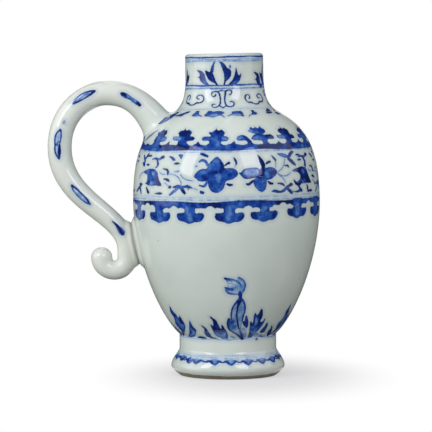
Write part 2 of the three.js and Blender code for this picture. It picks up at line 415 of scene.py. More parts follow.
motifs = {
    "lotusSpray": [
        (fill, 0.92, [(-18.6, 1.4), (-16.8, 1.3), (-14.4, 0.7), (-12.6, -0.6), (-11.6, -2.6), (-11, -5),
            (-10.1, -7), (-8.9, -8.2), (-8.8, -9.4), (-11.4, -9.2), (-13, -8), (-15, -6.8), (-16, -5.2),
            (-16.4, -4.1), (-17.9, -3.7), (-16.3, -3), (-15.9, -1.6), (-17, -0.3)]),
        (fill, 0.74, [(-4.9, 7), (-3.8, 6.9), (-4.5, 5), (-5, 2.5), (-5.3, 0), (-6.4, -0.6), (-7.7, 0.2),
            (-6.9, 3), (-5.7, 5.4)]),
        (fill, 0.93, [(-11.7, 0.7), (-10.4, 1), (-9.3, 0.2), (-7.6, 0.1), (-6.2, 0.2), (-5.4, -1.6),
            (-4.5, -4), (-3.8, -6), (-3.1, -7.7), (-2, -9.3), (-3.3, -9.4), (-4.5, -8.1), (-6.6, -7),
            (-8.7, -5.5), (-10.2, -3.2), (-11.2, -1)]),
        (fill, 0.95, [(-1.6, 7.3), (-0.3, 7.4), (1.8, 5.9), (3.2, 4.3), (4.4, 2.6), (6.2, 1.4), (7, 0.2),
            (6.8, -2.5), (5.6, -4.8), (3.7, -6.4), (2.9, -8), (2.6, -9.5), (1.4, -9.5), (1.8, -7.5),
            (2.1, -5), (1.9, -2), (1.3, 0.6), (0.4, 3.4), (-0.6, 5.8)]),
        (shade, -0.18, [(0.4, 6.4, 2.6), (1.8, 4.2, 2.6)]),
        (wash, 0.5, [(6.2, 3.8, 1.2), (6.3, 2.8, 1.3)]),
        (fill, 0.97, [(10.4, 2.4), (11, 1.4), (11.5, -0.8), (12.2, -2.2), (13, -2.4), (13.6, -1.2),
            (14.1, -2.2), (13.9, -4), (13, -6), (11.6, -7.8), (10, -9), (8, -9.4), (5, -9), (5.8, -7.8),
            (7.6, -6), (8.6, -4), (9.5, -1.5), (9.9, 1)]),
        (shade, -0.25, [(8, -8.4, 2.4), (11, -7.4, 2.4)]),
        (shade, -0.2, [(-10.4, -8.6, 2), (-12.6, -7.2, 2.2)]),
    ],
    "doubleScroll": [
        (line, 0.92, [(-4.9, 7.2, 1.2), (-5.5, 6.3, 1.0), (-6.6, 6, 0.9), (-7.9, 7, 0.9),
            (-7.6, 8.5, 0.9), (-6.2, 9.3, 0.8), (-4, 9.4, 1.1), (-2.7, 8.5, 1.2), (-2, 6.5, 1.1),
            (-1.6, 4, 1.1), (-1.6, 1.5, 1.1), (-2, 0, 1.1), (-3, -1.4, 1.1), (-4.4, -2.2, 1.1),
            (-6.2, -2.3, 0.9), (-7.2, -1.6, 0.8), (-7.3, 0.1, 0.9), (-6, 0.3, 0.8), (-4.9, 0.2, 0.6)]),
        (line, 0.88, [(4.6, 7.1, 0.9), (5.7, 7.7, 0.8), (6.2, 8.8, 0.9), (5.7, 10, 0.9),
            (4.4, 10.4, 1.0), (2.7, 10, 1.1), (1.9, 9, 1.4), (1.6, 7, 1.2), (1.4, 3.5, 1.1),
            (1.7, 1, 1.1), (2.5, -0.8, 1.2), (4, -1.8, 1.1), (6, -1.9, 1.1), (7.4, -1, 1.1),
            (7.8, 0.6, 1.0), (7, 2, 0.9), (5.7, 2.2, 0.9), (5, 1.7, 0.8)]),
        (line, 0.78, [(-2.8, 9.4, 1.0), (-1, 10.2, 1.0), (0.4, 9.9, 0.7), (1.8, 9.8, 0.8)]),
        (line, 0.8, [(-2, -1.1, 1.0), (-0.8, -2, 1.1), (0.5, -2.6, 1.1), (2.2, -1.3, 0.9)]),
    ],
    "cloudScroll": [
        (line, 0.97, [(-5.2, 3.9, 0.8), (-4.2, 4.7, 1.1), (-3.9, 5.8, 1.0), (-4.7, 6.8, 0.9),
            (-6.2, 6.8, 0.9), (-7.5, 5.8, 1.4), (-7.9, 4, 1.2), (-7.5, 2.4, 1.1), (-6.5, 1.5, 1.1),
            (-5, 1.2, 1.3), (-3.6, 1.1, 1.6), (-2.4, 0.3, 1.1), (-0.5, -0.2, 1.1), (1.6, 0, 1.1),
            (3, 0.8, 1.3), (4.2, 1.6, 1.4), (6, 1.4, 1.0), (8, 2, 1.1), (9.2, 3.7, 1.2), (8.6, 5.6, 1.0),
            (7.2, 6.9, 0.9), (5.2, 7.2, 0.9), (3.5, 6.6, 1.0), (3, 5.4, 1.3), (4.2, 4.4, 0.9),
            (5.6, 4.4, 0.8)]),
    ],
    "leafRow": [
        (fill, 0.75, [(-19.2, -5.7), (-17.2, -5.5), (-16.4, -6.4), (-16.8, -8.5), (-16, -10.5),
            (-14.4, -12), (-14.3, -13), (-16, -12.4), (-18, -12.6), (-20.6, -12.8), (-22.2, -11.5),
            (-21.4, -9.6), (-20, -7.8)]),
        (shade, -0.28, [(-19, -11.6, 3), (-17.4, -11.6, 2)]),
        (fill, 0.72, [(-10, -6), (-8, -5.7), (-6.6, -6.5), (-5, -6.4), (-3, -6), (-0.6, -6.4), (1, -7.6),
            (1, -9.4), (-0.2, -10.6), (0.7, -12), (1.5, -13.6), (1.9, -14.8), (0.8, -13.6),
            (-0.6, -12.1), (-2.4, -12), (-4, -13), (-6, -14), (-8, -13.6), (-9.6, -13), (-11.6, -12.8),
            (-12.6, -11.4), (-11.8, -9.6), (-11, -8)]),
        (shade, -0.3, [(-7.6, -12, 3), (-4.6, -11.8, 3)]),
        (shade, 0.15, [(-9, -7, 2.4), (-2, -7.6, 3.4)]),
        (fill, 0.74, [(6.4, -7.4), (8, -6.6), (10.5, -6.4), (12.6, -6.4), (14, -8.4), (14.6, -10.6),
            (15.2, -12.6), (14.4, -13.6), (13, -12.8), (11, -12.6), (8.6, -12.4), (6, -11.8), (3.7, -13),
            (5, -10.9), (6.4, -9.8)]),
        (shade, -0.25, [(8, -11.6, 2.6), (11.4, -11.6, 2.6)]),
        (shade, 0.2, [(12, -7.6, 3), (13.8, -10, 2)]),
        (fill, 0.82, [(20.2, -5.8), (22, -5.8), (23, -7.4), (24.6, -9), (25.2, -10.6), (23.8, -11.8),
            (21.6, -11.7), (20, -11.9), (19.4, -13.4), (18.6, -14), (19, -12), (20.4, -10.6), (21, -9),
            (20.4, -7.4)]),
    ],
    "leafEnd": [
        (fill, 0.95, [(35.2, -4.4), (37, -4.2), (38.6, -6), (40, -7.8), (40.4, -9.6), (38.6, -10.6),
            (36, -11), (34, -10.4), (33.6, -8.6), (34.2, -6.4)]),
        (fill, 0.85, [(46.6, -5.2), (50, -4.4), (53.4, -5.6), (55.4, -8), (56, -10.8), (53, -12),
            (49.6, -12.4), (46, -12), (44.6, -10), (45, -7.6)]),
    ],
    "leafTip": [
        (fill, 0.78, [(46, -6.4), (48.6, -6.2), (50.4, -8), (51, -10.4), (52.6, -12.8), (50, -12.4),
            (47, -12.6), (43.8, -12), (44.4, -9.6)]),
    ],
    "shoulderPair": [
        (fill, 0.84, [(-21.6, 11), (-21, 9.4), (-19.6, 9.1), (-18.8, 9.8), (-17.5, 8.9), (-16.3, 7.8),
            (-16.3, 6.4), (-17, 5), (-16.6, 4), (-15.4, 4), (-14.2, 3.2), (-13.8, 2), (-14.6, 0.9),
            (-16.4, 0.6), (-18.5, 0.4), (-19.4, -0.4), (-19, -1.6), (-17.6, -3), (-20, -5), (-26, -5),
            (-28, -3), (-26.9, -1.8), (-26.5, -0.4), (-26.6, 0.7), (-28.2, 0.8), (-30, 1), (-31.4, 2.2),
            (-30.6, 3.8), (-28.6, 4), (-26.4, 3.9), (-26.2, 5), (-27, 6.2), (-26.4, 7.6), (-25, 8.8),
            (-23.4, 9.1), (-22.4, 9.4)]),
        (shade, 0.2, [(-24.6, 6.6, 4), (-21.4, 7, 6), (-18.6, 6.4, 4)]),
        (shade, 0.14, [(-19, 2.6, 3), (-16, 2.4, 3)]),
        (shade, -0.32, [(-29.4, 2.6, 3), (-26, 2, 3)]),
        (fill, 0.82, [(0.8, 11.2), (1.4, 9.5), (2.8, 8.8), (4.4, 9.5), (5.7, 8.4), (6.8, 7), (6.8, 5.6),
            (6.3, 4.2), (8, 3.8), (9.6, 2.4), (9.2, 0.8), (7.6, 0), (5.6, -0.2), (4.6, -0.8), (4.9, -2),
            (6, -3.4), (4, -5.4), (-3, -5.4), (-5, -3.2), (-3.5, -1.4), (-3.6, 0.2), (-5, 0.6),
            (-7.4, 0.5), (-8.6, 1.6), (-8, 3.2), (-5.6, 3.9), (-3.2, 3.8), (-2.4, 4.6), (-3.8, 6),
            (-4, 7.2), (-2.6, 7.6), (-1.6, 7.4), (-1, 8.6), (0.3, 9.2)]),
        (shade, 0.18, [(2, 7.4, 4), (4.8, 6.4, 4)]),
        (shade, -0.12, [(0.4, 1.6, 4), (1.4, -1.4, 4)]),
        (shade, -0.3, [(6.4, 2, 3), (8.2, 2, 2.4)]),
        (shade, -0.2, [(-7, 2.2, 3), (-5, 2.2, 2.6)]),
        (fill, 0.86, [(-11, 0), (-10.2, -1.4), (-8.8, -2.6), (-8.6, -4), (-14.4, -4), (-14.2, -2.4),
            (-12.6, -1.6)]),
        (fill, 0.86, [(13.6, 0), (14.6, -1.8), (15.2, -3.4), (14.8, -5.2), (9.8, -5.2), (10.2, -3.6),
            (11.2, -2.2), (12.5, -0.9)]),
        (bare, 0, [(-19, 0), (-17, 0.4), (-14.8, 0.2), (-14.3, -0.9), (-15.2, -2.2), (-17.2, -2.5),
            (-18.8, -1.4)]),
        (bare, 0, [(-9.6, -1), (-9.4, 0.2), (-6, 0.4), (-3.8, 0.1), (-4.2, -1.4), (-5.2, -2.6),
            (-7, -2.8), (-8.7, -2.2)]),
        (bare, 0, [(4.8, -0.7), (7, -0.2), (9.6, 0.2), (11.2, -0.7), (10.3, -2), (8.4, -2.8),
            (6.2, -2.6)]),
        (bare, 0, [(-37, 0), (-34, 0.4), (-31, 0.6), (-27.4, 0.2), (-27.6, -1.2), (-29, -2.4),
            (-32, -2.4), (-35, -2)]),
    ],
    "scrollHead": [
        (fill, 0.84, [(-18.2, 1), (-17.4, 3), (-15.4, 4.2), (-13, 4.5), (-11, 3.4), (-9.6, 1.7),
            (-8.5, 0.2), (-8, -1.6), (-6.6, -3.4), (-9, -5.4), (-12, -4.4), (-12, -2.8), (-11.4, -1.2),
            (-12.2, 0), (-14, 0.3), (-16.4, 0.1)]),
        (shade, -0.3, [(-16.6, 1.6, 3), (-14.2, 1.8, 3)]),
        (shade, 0.12, [(-11.6, 2.4, 3), (-9.6, -0.4, 3)]),
        (fill, 0.72, [(-8.6, 7.6), (-7.4, 8.8), (-6.3, 10.6), (-5.5, 11.3), (-4.5, 10.2), (-3.2, 10.4),
            (-2.4, 11.6), (-1.5, 10.4), (0, 10.4), (1.2, 11.9), (1.8, 10.8), (2.5, 10), (3.8, 9), (4, 7),
            (2.8, 5.6), (0.4, 4.8), (-3, 5), (-5.4, 5.8), (-7.2, 6.6)]),
        (shade, -0.25, [(-7.6, 7.8, 2.4), (-6, 7.8, 2.4)]),
        (shade, 0.16, [(0, 8, 3), (3, 7.6, 2.4)]),
        (fill, 0.84, [(-7.8, 1.4), (-6.8, 3.2), (-5, 4.6), (-2.4, 5.2), (0.4, 5), (3, 4.2), (4.2, 2),
            (4, 0.4), (3.6, -1), (4.8, -3), (3, -5.4), (-1, -5), (-0.6, -3), (-0.2, -1.4), (-1, -0.1),
            (-3, 0.2), (-6, 0.4)]),
        (shade, -0.3, [(-5.4, 1.8, 2.6), (-2.6, 2.2, 3.4), (-0.8, 1.4, 2)]),
        (fill, 1.0, [(3, 4.2), (5, 4.6), (7, 4.6), (8.6, 3.8), (9.6, 2.2), (9, 1), (7.4, 0.8),
            (5.4, 0.9), (4, 0.5), (3, 1.6)]),
        (fill, 0.9, [(12.6, -0.7), (13.4, -1.6), (14.8, -2.6), (14, -4), (10, -4), (10.4, -2.4),
            (11.8, -1.7)]),
        (bare, 0, [(-19.2, -0.6), (-17.4, 0), (-15, 0.2), (-12.8, -0.2), (-12, -1), (-13, -2.6),
            (-15.4, -3.1), (-17.6, -2.6), (-18.8, -1.6)]),
        (bare, 0, [(-8.3, -0.5), (-6.6, 0.2), (-4, 0.1), (-1.5, -0.2), (-0.9, -1), (-1.8, -2.2),
            (-4, -2.9), (-6.4, -2.5), (-7.7, -1.6)]),
        (bare, 0, [(4.4, 0.1), (6.4, 0.5), (9, 0.5), (11.6, 0.2), (11, -1.4), (9.4, -2.3), (6.6, -2.4),
            (4.8, -1.6)]),
        (bare, 0, [(13.2, -0.7), (14.4, 0.3), (17, 0.5), (19.2, 0.5), (19.8, -0.8), (18.8, -2.4),
            (16.8, -2.9), (14.6, -2.2)]),
    ],
    "lotusFlower": [
        (fill, 0.77, [(0, 12.9), (2, 11.6), (4, 9.2), (5.1, 6.8), (5.6, 5), (9, 5.1), (12, 4.5),
            (13.6, 3), (14.7, 0.8), (13.2, -1), (10.6, -2.8), (8, -3.4), (6.2, -4.4), (5.5, -7),
            (4.1, -9.5), (2, -11.1), (0, -11.8), (-2.6, -11.1), (-4.6, -9.3), (-5.6, -7), (-5.9, -4.4),
            (-6.8, -3.6), (-9, -4.1), (-12, -3.6), (-14.1, -2.1), (-15.7, -0.5), (-13.2, 2.9),
            (-10.2, 4.4), (-7, 4.7), (-5.6, 7), (-4.1, 9.5), (-2, 11.4)]),
        (shade, 0.22, [(3.6, 8.4, 2.4), (4.2, 5.4, 2.8), (3, 3, 3)]),
        (shade, 0.2, [(-2.4, 2.6, 2.4), (-0.4, 2.4, 2.4)]),
        (shade, -0.26, [(0.8, -0.6, 3.4), (1.4, -3.4, 2.6)]),
        (shade, 0.16, [(8.6, 0.4, 2), (11.4, 0.4, 2.4)]),
        (shade, -0.16, [(-9.6, 2.4, 2.6), (-7.6, 2.4, 2)]),
        (shade, -0.14, [(-3, 7, 3), (-5, 6, 2.4)]),
        (shade, 0.12, [(-8, -1, 4), (-4.6, 0, 4)]),
        (wash, 0.62, [(-12, 9.4, 1.0), (-10.4, 10.4, 1.8), (-8.6, 10.4, 1.9), (-7, 9, 1.9),
            (-6.1, 7.2, 1.8)]),
        (wash, 0.82, [(-10.8, 15, 1.6), (-8.4, 14.2, 2.2), (-6.2, 13.2, 1.6)]),
        (wash, 0.95, [(5.5, 6.7, 1.0), (7, 7.8, 1.5), (8.2, 8.4, 1.9)]),
        (wash, 0.88, [(11.6, 12, 0.8), (12.4, 10.6, 1.3), (13.2, 9, 1.6), (13.1, 7.4, 1.2)]),
        (wash, 0.2, [(13, 7, 0.9), (12.3, 5.6, 0.8)]),
        (wash, 0.7, [(-11.6, -6.6, 1.2), (-10, -7, 1.4), (-8.6, -7, 1.9), (-7.4, -6, 1.7),
            (-6.8, -4.4, 1.4)]),
        (wash, 0.88, [(-10.6, -11.1, 2.1), (-9.4, -11.5, 2.1)]),
        (wash, 0.9, [(7, -5.8, 1.4), (8.8, -6.4, 1.9), (10.4, -6.4, 1.3)]),
        (wash, 0.35, [(-14.2, 6.3, 1.3), (-13.7, 6.5, 1.3)]),
    ],
    "sideLotus": [
        (fill, 0.76, [(-19.8, 1), (-18, 2.8), (-16, 4.2), (-13, 4.8), (-10, 4.9), (-7, 4.6), (-5.6, 2.6),
            (-6, -0.6), (-9, -1.2), (-13, -1.8), (-16, -2), (-18.4, -0.6)]),
        (fill, 0.8, [(7.6, 1.2), (6.8, 3), (5, 4.4), (2.6, 5), (0, 4.8), (-2, 4.2), (-4, 2.6), (-4, -2),
            (-1, -3.6), (2.4, -3), (4.6, -1.8), (6.6, -0.2)]),
        (fill, 0.72, [(-5, -11.7), (-7.2, -10.9), (-9, -9.2), (-10.4, -7), (-10.9, -5), (-10.4, -3),
            (-8, -1.8), (-4, -1.4), (-1.6, -2.6), (-1.2, -5), (-1.6, -7.6), (-2.4, -9.8), (-3.6, -11)]),
        (fill, 0.98, [(-6.3, 13.3), (-5, 13), (-3.8, 11.6), (-2.4, 9.6), (-1.4, 7.4), (-1.4, 5.6),
            (-2, 4), (-3, 1), (-4, -1.4), (-6, -0.8), (-6.6, 1.4), (-5.6, 3.2), (-4.4, 5), (-4.9, 7),
            (-5.6, 9.4), (-5.9, 11.6)]),
        # partly painted highlight: the left petal is paler where the right softbox's reflection falls on the
        # front copy
        (shade, -0.3, [(-15.4, 1.8, 3.4), (-11.6, 2, 4.4), (-8.4, 2, 3.6)]),
        (shade, -0.22, [(-0.8, 0.6, 3), (0.6, -1, 2.6)]),
        (shade, 0.18, [(3.6, 1, 3), (5.6, 1.6, 2.4)]),
        (line, 0.95, [(-19.8, 1.4, 1.2), (-18.5, -0.4, 0.9), (-17, -1.8, 1.0), (-15, -2.2, 1.1),
            (-13, -1.8, 1.3), (-11, -1.3, 1.6), (-8.6, -1.2, 1.6), (-6, -1.8, 1.2)]),
        (wash, 0.95, [(-0.6, 7.3, 1.2), (0.8, 8.2, 1.7), (2.2, 8.6, 1.9)]),
        (wash, 0.9, [(-15.8, -6, 1.2), (-14, -6.2, 1.9), (-12.4, -5, 1.7), (-11, -4, 1.5)]),
        (wash, 0.95, [(0, -4.8, 1.4), (1.4, -6, 1.9), (3, -6.2, 1.5)]),
        (wash, 0.9, [(4.4, 12.8, 0.9), (5.6, 11.2, 1.4), (6.8, 10, 1.7), (6.8, 8.9, 1.2)]),
        (fill, 0.62, [(8.8, 14), (11, 14.3), (14, 14.1), (16.4, 13.4), (18.4, 12.2), (18.6, 11),
            (16, 10.8), (13, 11.4), (10.4, 12.6)]),
        (wash, 0.86, [(18.4, 11.2, 2.4), (20.4, 13, 2.8), (22.4, 14.6, 2.4), (24.2, 14.7, 1.2)]),
        (wash, 0.9, [(18.4, 10.3, 2.4), (20.6, 8.6, 2.8), (22.8, 7, 2.7), (24.5, 5.7, 1.4)]),
        (wash, 0.95, [(13.6, 5.8, 0.8), (15.4, 5.6, 1.2), (16.8, 5.4, 1.7), (17.6, 4.6, 1.2)]),
        (wash, 0.9, [(7, -6, 0.8), (9, -6.4, 1.4), (11, -6.8, 1.9), (12.6, -7.9, 1.2)]),
        (wash, 0.95, [(14.4, -9.5, 2.4), (16.4, -8.4, 1.9), (18.6, -7.4, 2.5), (20, -7.4, 1.4)]),
        (wash, 0.8, [(14, -9.6, 2.2), (11.6, -11.4, 2.1), (9, -12, 1.5), (6.4, -11.6, 2.1),
            (4.2, -11.2, 1.9), (2.6, -11.4, 1.0)]),
        (wash, 0.9, [(15, -10, 2.2), (16.8, -11.2, 2.4), (18.6, -12.6, 2.5), (19.4, -13.2, 1.4)]),
        (line, 0.38, [(6.8, 8.8, 0.9), (6.8, 6.6, 0.8), (6.3, 4.6, 0.7)]),
        (line, 0.41, [(15, 10, 0.9), (13.4, 6, 0.8), (11.4, 3.6, 0.8), (8.6, 1.8, 0.7)]),
        (line, 0.43, [(7.8, 0.6, 0.7), (10, -0.8, 0.9), (13, -1.4, 0.8), (16, -1, 0.8), (19, 0.6, 0.7)]),
        (line, 0.39, [(8.4, -0.6, 0.8), (10.6, -2, 0.8), (12.4, -3.6, 0.8), (14, -6.2, 0.7)]),
        (line, 0.48, [(19.4, -11.8, 0.8), (21, -12.3, 0.8), (22.8, -12.4, 0.8)]),
        (wash, 0.88, [(22.4, -12.4, 0.9), (25, -12.4, 1.5), (27.6, -11.6, 1.9), (29.4, -11.2, 1.2)]),
        (wash, 0.8, [(26.4, 12.6, 0.9), (28.6, 12.6, 1.6), (31, 12.2, 0.9)]),
        (wash, 0.75, [(27.6, 9, 0.9), (29.6, 9.2, 1.5), (31.6, 9, 0.8)]),
    ],
    "profileLotus": [
        (fill, 0.74, [(-18.4, 1.8), (-16, 2.9), (-12.6, 3.6), (-9, 4.3), (-6, 4.3), (-3, 3.4), (-1.4, 2),
            (-0.5, 0), (0.2, -2), (1.4, -4), (2.8, -5.6), (3.5, -6.9), (1.8, -7.3), (-1, -7.2),
            (-4, -7.1), (-7, -7.3), (-10, -7.1), (-12, -6.6), (-14.4, -6), (-12.4, -5), (-10.9, -3.6),
            (-10.6, -1.4), (-12, 0.2), (-14.4, 0.9), (-16.4, 1)]),
        (shade, 0.2, [(-1.6, -2, 2.6), (-0.6, -4.6, 3.4), (1.8, -6.2, 2.4)]),
        (shade, 0.2, [(-12, 2, 2.4), (-9.8, 2.2, 2.4)]),
        (shade, 0.2, [(-3.6, 0.8, 2), (-2.8, 1.2, 2)]),
        (shade, -0.36, [(-7.4, 1.8, 2.2), (-6, 0.8, 2.2)]),
        (shade, -0.3, [(-8.4, -5.8, 2.4), (-5.6, -5.2, 2.6)]),
        (shade, -0.2, [(-16.4, 1.9, 2.4), (-14.6, 2.2, 2.4)]),
        (wash, 0.6, [(-9, 11, 0.9), (-6, 11.6, 1.3), (-3.6, 11.2, 1.8), (-1, 11.2, 1.8),
            (0.6, 12.2, 2.2)]),
        (wash, 0.97, [(0.8, 12.4, 2.3), (2, 12.6, 2.4), (3, 12.4, 1.2)]),
        (wash, 0.84, [(-3.6, 10.8, 1.6), (-2.6, 9, 2.1), (-2, 7.6, 2.3), (-2.8, 6, 1.4), (-4, 5, 0.8)]),
        (wash, 0.86, [(8, 13, 1.0), (10, 12.2, 1.7), (11.6, 11.2, 2.1), (12.8, 10.6, 1.0)]),
        (fill, 0.6, [(14.8, 14.5), (18.4, 14.5), (18.2, 12), (17.6, 11), (16.4, 12.6)]),
        (wash, 0.95, [(13, 8.2, 1.0), (15, 8.3, 1.8), (16.8, 8.2, 1.0)]),
        (wash, 0.88, [(3.6, 4.5, 0.8), (5.6, 4.3, 1.2), (7.4, 3.8, 1.7), (8.4, 2.2, 2.3),
            (8.2, 0.7, 1.2)]),
        (wash, 0.95, [(5.2, -2.4, 1.0), (7.2, -2.6, 1.7), (9, -3.2, 2.0), (10, -3.8, 1.0)]),
        (wash, 0.28, [(14.2, 2.6, 1.1), (17.4, 3, 1.2)]),
        (wash, 0.95, [(10.2, -7.8, 2.2), (11.2, -7.9, 2.1)]),
        (wash, 0.55, [(10.8, -13.2, 1.5), (13, -11.6, 2.0), (15.4, -10, 2.2), (17, -8.4, 2.4)]),
        (wash, 0.78, [(13.4, -8, 1.1), (16, -7.4, 1.9), (18.4, -7.4, 2.5), (20, -8.4, 2.5),
            (21.6, -10.4, 2.5), (22.8, -11.8, 1.9)]),
        (shade, 0.2, [(21.6, -10.6, 2), (22.6, -11.6, 2)]),
        (wash, 0.6, [(20.6, -7.6, 1.5), (22.6, -7.6, 1.7), (24.4, -7.2, 2.2)]),
        (wash, 0.88, [(24.6, -7.2, 2.2), (26.4, -7.8, 1.7), (28, -8.3, 0.8)]),
        (line, 0.41, [(0.6, 2.2, 0.8), (2.6, 1, 0.8), (6, 0.8, 0.7)]),
        (line, 0.45, [(9, 0.8, 1.0), (13, 0.8, 0.9), (17, -1, 0.9), (19.4, -4, 0.8), (20, -6.4, 0.8)]),
        (line, 0.41, [(19, 0.6, 0.8), (21, -1.4, 0.9), (24.6, -3, 0.9), (28.6, -3.6, 0.8)]),
        (line, 0.39, [(6, -5, 0.7), (8, -6, 0.8), (9.6, -7.4, 0.8)]),
        (line, 0.43, [(28.4, -8.4, 0.8), (32, -9.6, 0.7)]),
        (wash, 0.9, [(-13.4, -8.6, 1.2), (-12.2, -10, 2.0), (-11, -11.6, 2.4), (-9.8, -12, 1.2)]),
        (wash, 0.6, [(-3, -12.6, 0.9), (-0.4, -12.4, 1.4)]),
        (wash, 0.9, [(0, -12.4, 1.6), (2, -12.3, 1.9), (3.6, -12.4, 1.0)]),
    ],
    "profileLeaves": [
        (wash, 0.9, [(-14.8, 13, 1.0), (-12.4, 13.3, 1.7), (-10.6, 13.4, 1.0)]),
        (wash, 0.95, [(-15, 7, 1.0), (-13.2, 7, 1.6), (-11.8, 7, 1.0)]),
        (fill, 0.78, [(-22, 8.4), (-19.4, 9), (-17.4, 7.4), (-17.6, 6), (-19.4, 5.8), (-21.4, 7)]),
        (wash, 0.9, [(-23.4, -6.6, 1.4), (-21.4, -6.8, 2.2), (-19.4, -6.6, 1.0)]),
        (wash, 0.75, [(-24, -8.8, 1.6), (-27, -10.6, 2.0), (-30, -12, 0.9)]),
        (fill, 0.74, [(-18.4, 2), (-15, 3.4), (-9, 4.2), (-7.6, 0), (-8.6, -4), (-10, -7.1), (-13, -6.7),
            (-15, -5.7), (-13.2, -4.6), (-12.6, -2), (-13.4, 0), (-15.4, 0.8)]),
        (shade, 0.2, [(-10, -5, 2.6), (-11.6, -5.6, 2.2)]),
        (line, 0.43, [(-18, 1.8, 0.9), (-20.8, 1.2, 0.8), (-23, -0.4, 0.8), (-24.6, -2.4, 0.7)]),
        (wash, 0.85, [(-14.6, 14.8, 1.2), (-16, 13.4, 2.2), (-17.8, 11.6, 1.6)]),
        (wash, 0.8, [(-21.8, 13.4, 1.4), (-20, 11.4, 2.4), (-18.2, 9.2, 1.8)]),
        (wash, 0.85, [(-21.4, -7.4, 1.8), (-24.2, -9.4, 2.0)]),
        (wash, 0.8, [(-22.8, -9, 1.4), (-21.6, -11, 2.2), (-20.8, -13, 1.4)]),
    ],
    "profileRightShadeAndStems": [
        # painted shade: the first mark darkens the right-hand lotus copy, on the side away from the lamps
        (shade, 0.24, [(-14, 2, 4), (-8, 1.6, 6), (-5, -2.6, 8), (-1.6, -5.6, 6)]),
        (wash, 0.9, [(-2, 7.8, 2.0), (-2.2, 5.6, 1.8), (-2.8, 3.8, 1.4)]),
        (wash, 0.95, [(-17.4, -4.8, 1.4), (-15.6, -6.8, 2.2), (-12.4, -7.6, 2.2), (-9.4, -6, 1.6)]),
        (wash, 0.95, [(-3.2, -8.2, 1.2), (-2.6, -10.6, 2.2), (-1.6, -13, 1.4)]),
    ],
    "rootLeaf": [
        (fill, 0.8, [(-17, 1.4), (-10, 1.8), (-5, 2.2), (-1, 3), (1.6, 5.4), (3.2, 8.6), (4.6, 10.6),
            (7.6, 10.4), (9.4, 7.6), (9.8, 4), (8.8, 0), (6.6, -2.4), (2, -4), (-3, -4.4), (-8, -4),
            (-14, -2)]),
        (shade, -0.2, [(-4, 1, 2.4), (2, 1, 2.4)]),
    ],
    "hangingHead": [
        (fill, 0.78, [(-4.4, 2.6), (-4, 0.6), (-4.3, -0.8), (-6.4, -1.2), (-9.2, -1.4), (-10, -2.6),
            (-9.8, -4.6), (-8.6, -6.2), (-6, -7), (-4, -7.4), (-2.4, -8.2), (-0.6, -8.5), (1.6, -8),
            (3, -7.4), (5.6, -7.4), (7.8, -6.6), (9.4, -5), (10.1, -3), (9.6, -1.6), (8.2, -0.9),
            (6.2, -1.2), (4.4, -1.4), (3.7, -0.2), (4, 1.6), (5, 3), (5, 5), (-4.4, 5)]),
        (shade, 0.16, [(-8.2, -3.6, 3), (-6, -5, 3)]),
        (shade, 0.16, [(8.4, -3, 2.6), (6.6, -5.4, 3)]),
        (shade, -0.16, [(-1, 1.4, 4), (-0.4, -2.4, 4), (0.4, -6, 3)]),
    ],
    "scallops": [
        (bare, 0, [(-8.2, -0.9), (-8.3, 0.6), (-7.2, 1.8), (-5.2, 2), (-3.2, 1.6), (-1.7, 2.7),
            (0.4, 3.5), (2.4, 2.8), (3.6, 1.8), (5.2, 2.2), (7.2, 2), (8.6, 1), (8.7, -0.2), (8, -0.9),
            (4.6, -0.8), (1.6, -1), (-0.8, -1), (-3, -0.9), (-5.6, -1)]),
    ],
    "sideLeaf": [
        (bare, 0, [(-9.5, -5), (9, -5), (9.5, 3), (8, 8), (-9.5, 8)]),
        (wash, 0.62, [(-6, -3.4, 1.2), (-2, -0.6, 2.2), (2, 2.2, 2.0), (6, 4.8, 1.0)]),
    ],
    "bandDeep": [
        (shade, 0.24, [(-6, 0.4, 3.4), (0, 0, 4), (6, 0.4, 3.4)]),
    ],
    "tulipPlant": [
        (fill, 0.38, [(4, 10), (5.2, 8.6), (6.8, 6.4), (7.8, 3.6), (8.2, 0.6), (7.8, -3), (7, -6.4),
            (6.2, -9.6), (5.6, -13), (5.6, -16), (6, -19), (7, -22), (7.8, -26), (6.6, -27.2), (5, -25),
            (2.6, -22.3), (0, -20), (-2.4, -17.6), (-3.7, -14.6), (-4.3, -11.6), (-4, -8.8), (-3, -7.1),
            (-2.4, -8.6), (-1.8, -9.2), (-1.9, -6), (-1.9, -2), (-1.2, 1.4), (0.4, 4.4), (2.2, 7.2),
            (3.2, 9)]),
        (fill, 0.36, [(-7.5, 23.6), (-4.6, 23.6), (-2, 23), (0.4, 22), (1.6, 22.4), (2.6, 24.3),
            (4, 23.5), (5.8, 22.1), (7.2, 20), (7.7, 17.6), (7.1, 15), (6.2, 13), (5, 11), (4.4, 10),
            (2.8, 10.6), (0.6, 11.1), (-2.4, 11.3), (-4.6, 11.9), (-6, 13.4), (-6.7, 15), (-6.5, 17.1),
            (-5.2, 16.5), (-4.7, 17.6), (-5, 19.6), (-6, 21.4)]),
        (shade, -0.16, [(-3.6, 18.8, 3), (-1, 18.8, 3)]),
        (shade, 0.1, [(4.6, 17, 3), (4.6, 14, 3)]),
        (shade, 0.22, [(-4.6, 22.4, 2), (-2.4, 21.6, 2)]),
        (line, 0.98, [(-6.9, 23.2, 1.4), (-5, 22.7, 1.7), (-4, 22, 0.8)]),
        (line, 0.68, [(-5, 23, 0.9), (-2, 22.6, 0.9), (0.8, 21.4, 1.1), (3, 19.7, 1.3),
            (3.9, 18.2, 1.0)]),
        (line, 0.66, [(2.4, 23.6, 1.4), (4.4, 22.7, 1.2), (6.2, 20.9, 1.2), (7.1, 18, 1.3),
            (6.8, 15.4, 1.1), (6, 13.2, 1.1)]),
        (line, 0.72, [(-6.3, 16.5, 1.3), (-4.6, 15.4, 1.9), (-2.4, 15.1, 2.0), (-1.2, 15, 1.4)]),
        (line, 0.6, [(-6.2, 14.2, 1.0), (-4.6, 12.5, 1.2), (-2, 11.7, 1.3), (1, 11.4, 1.3)]),
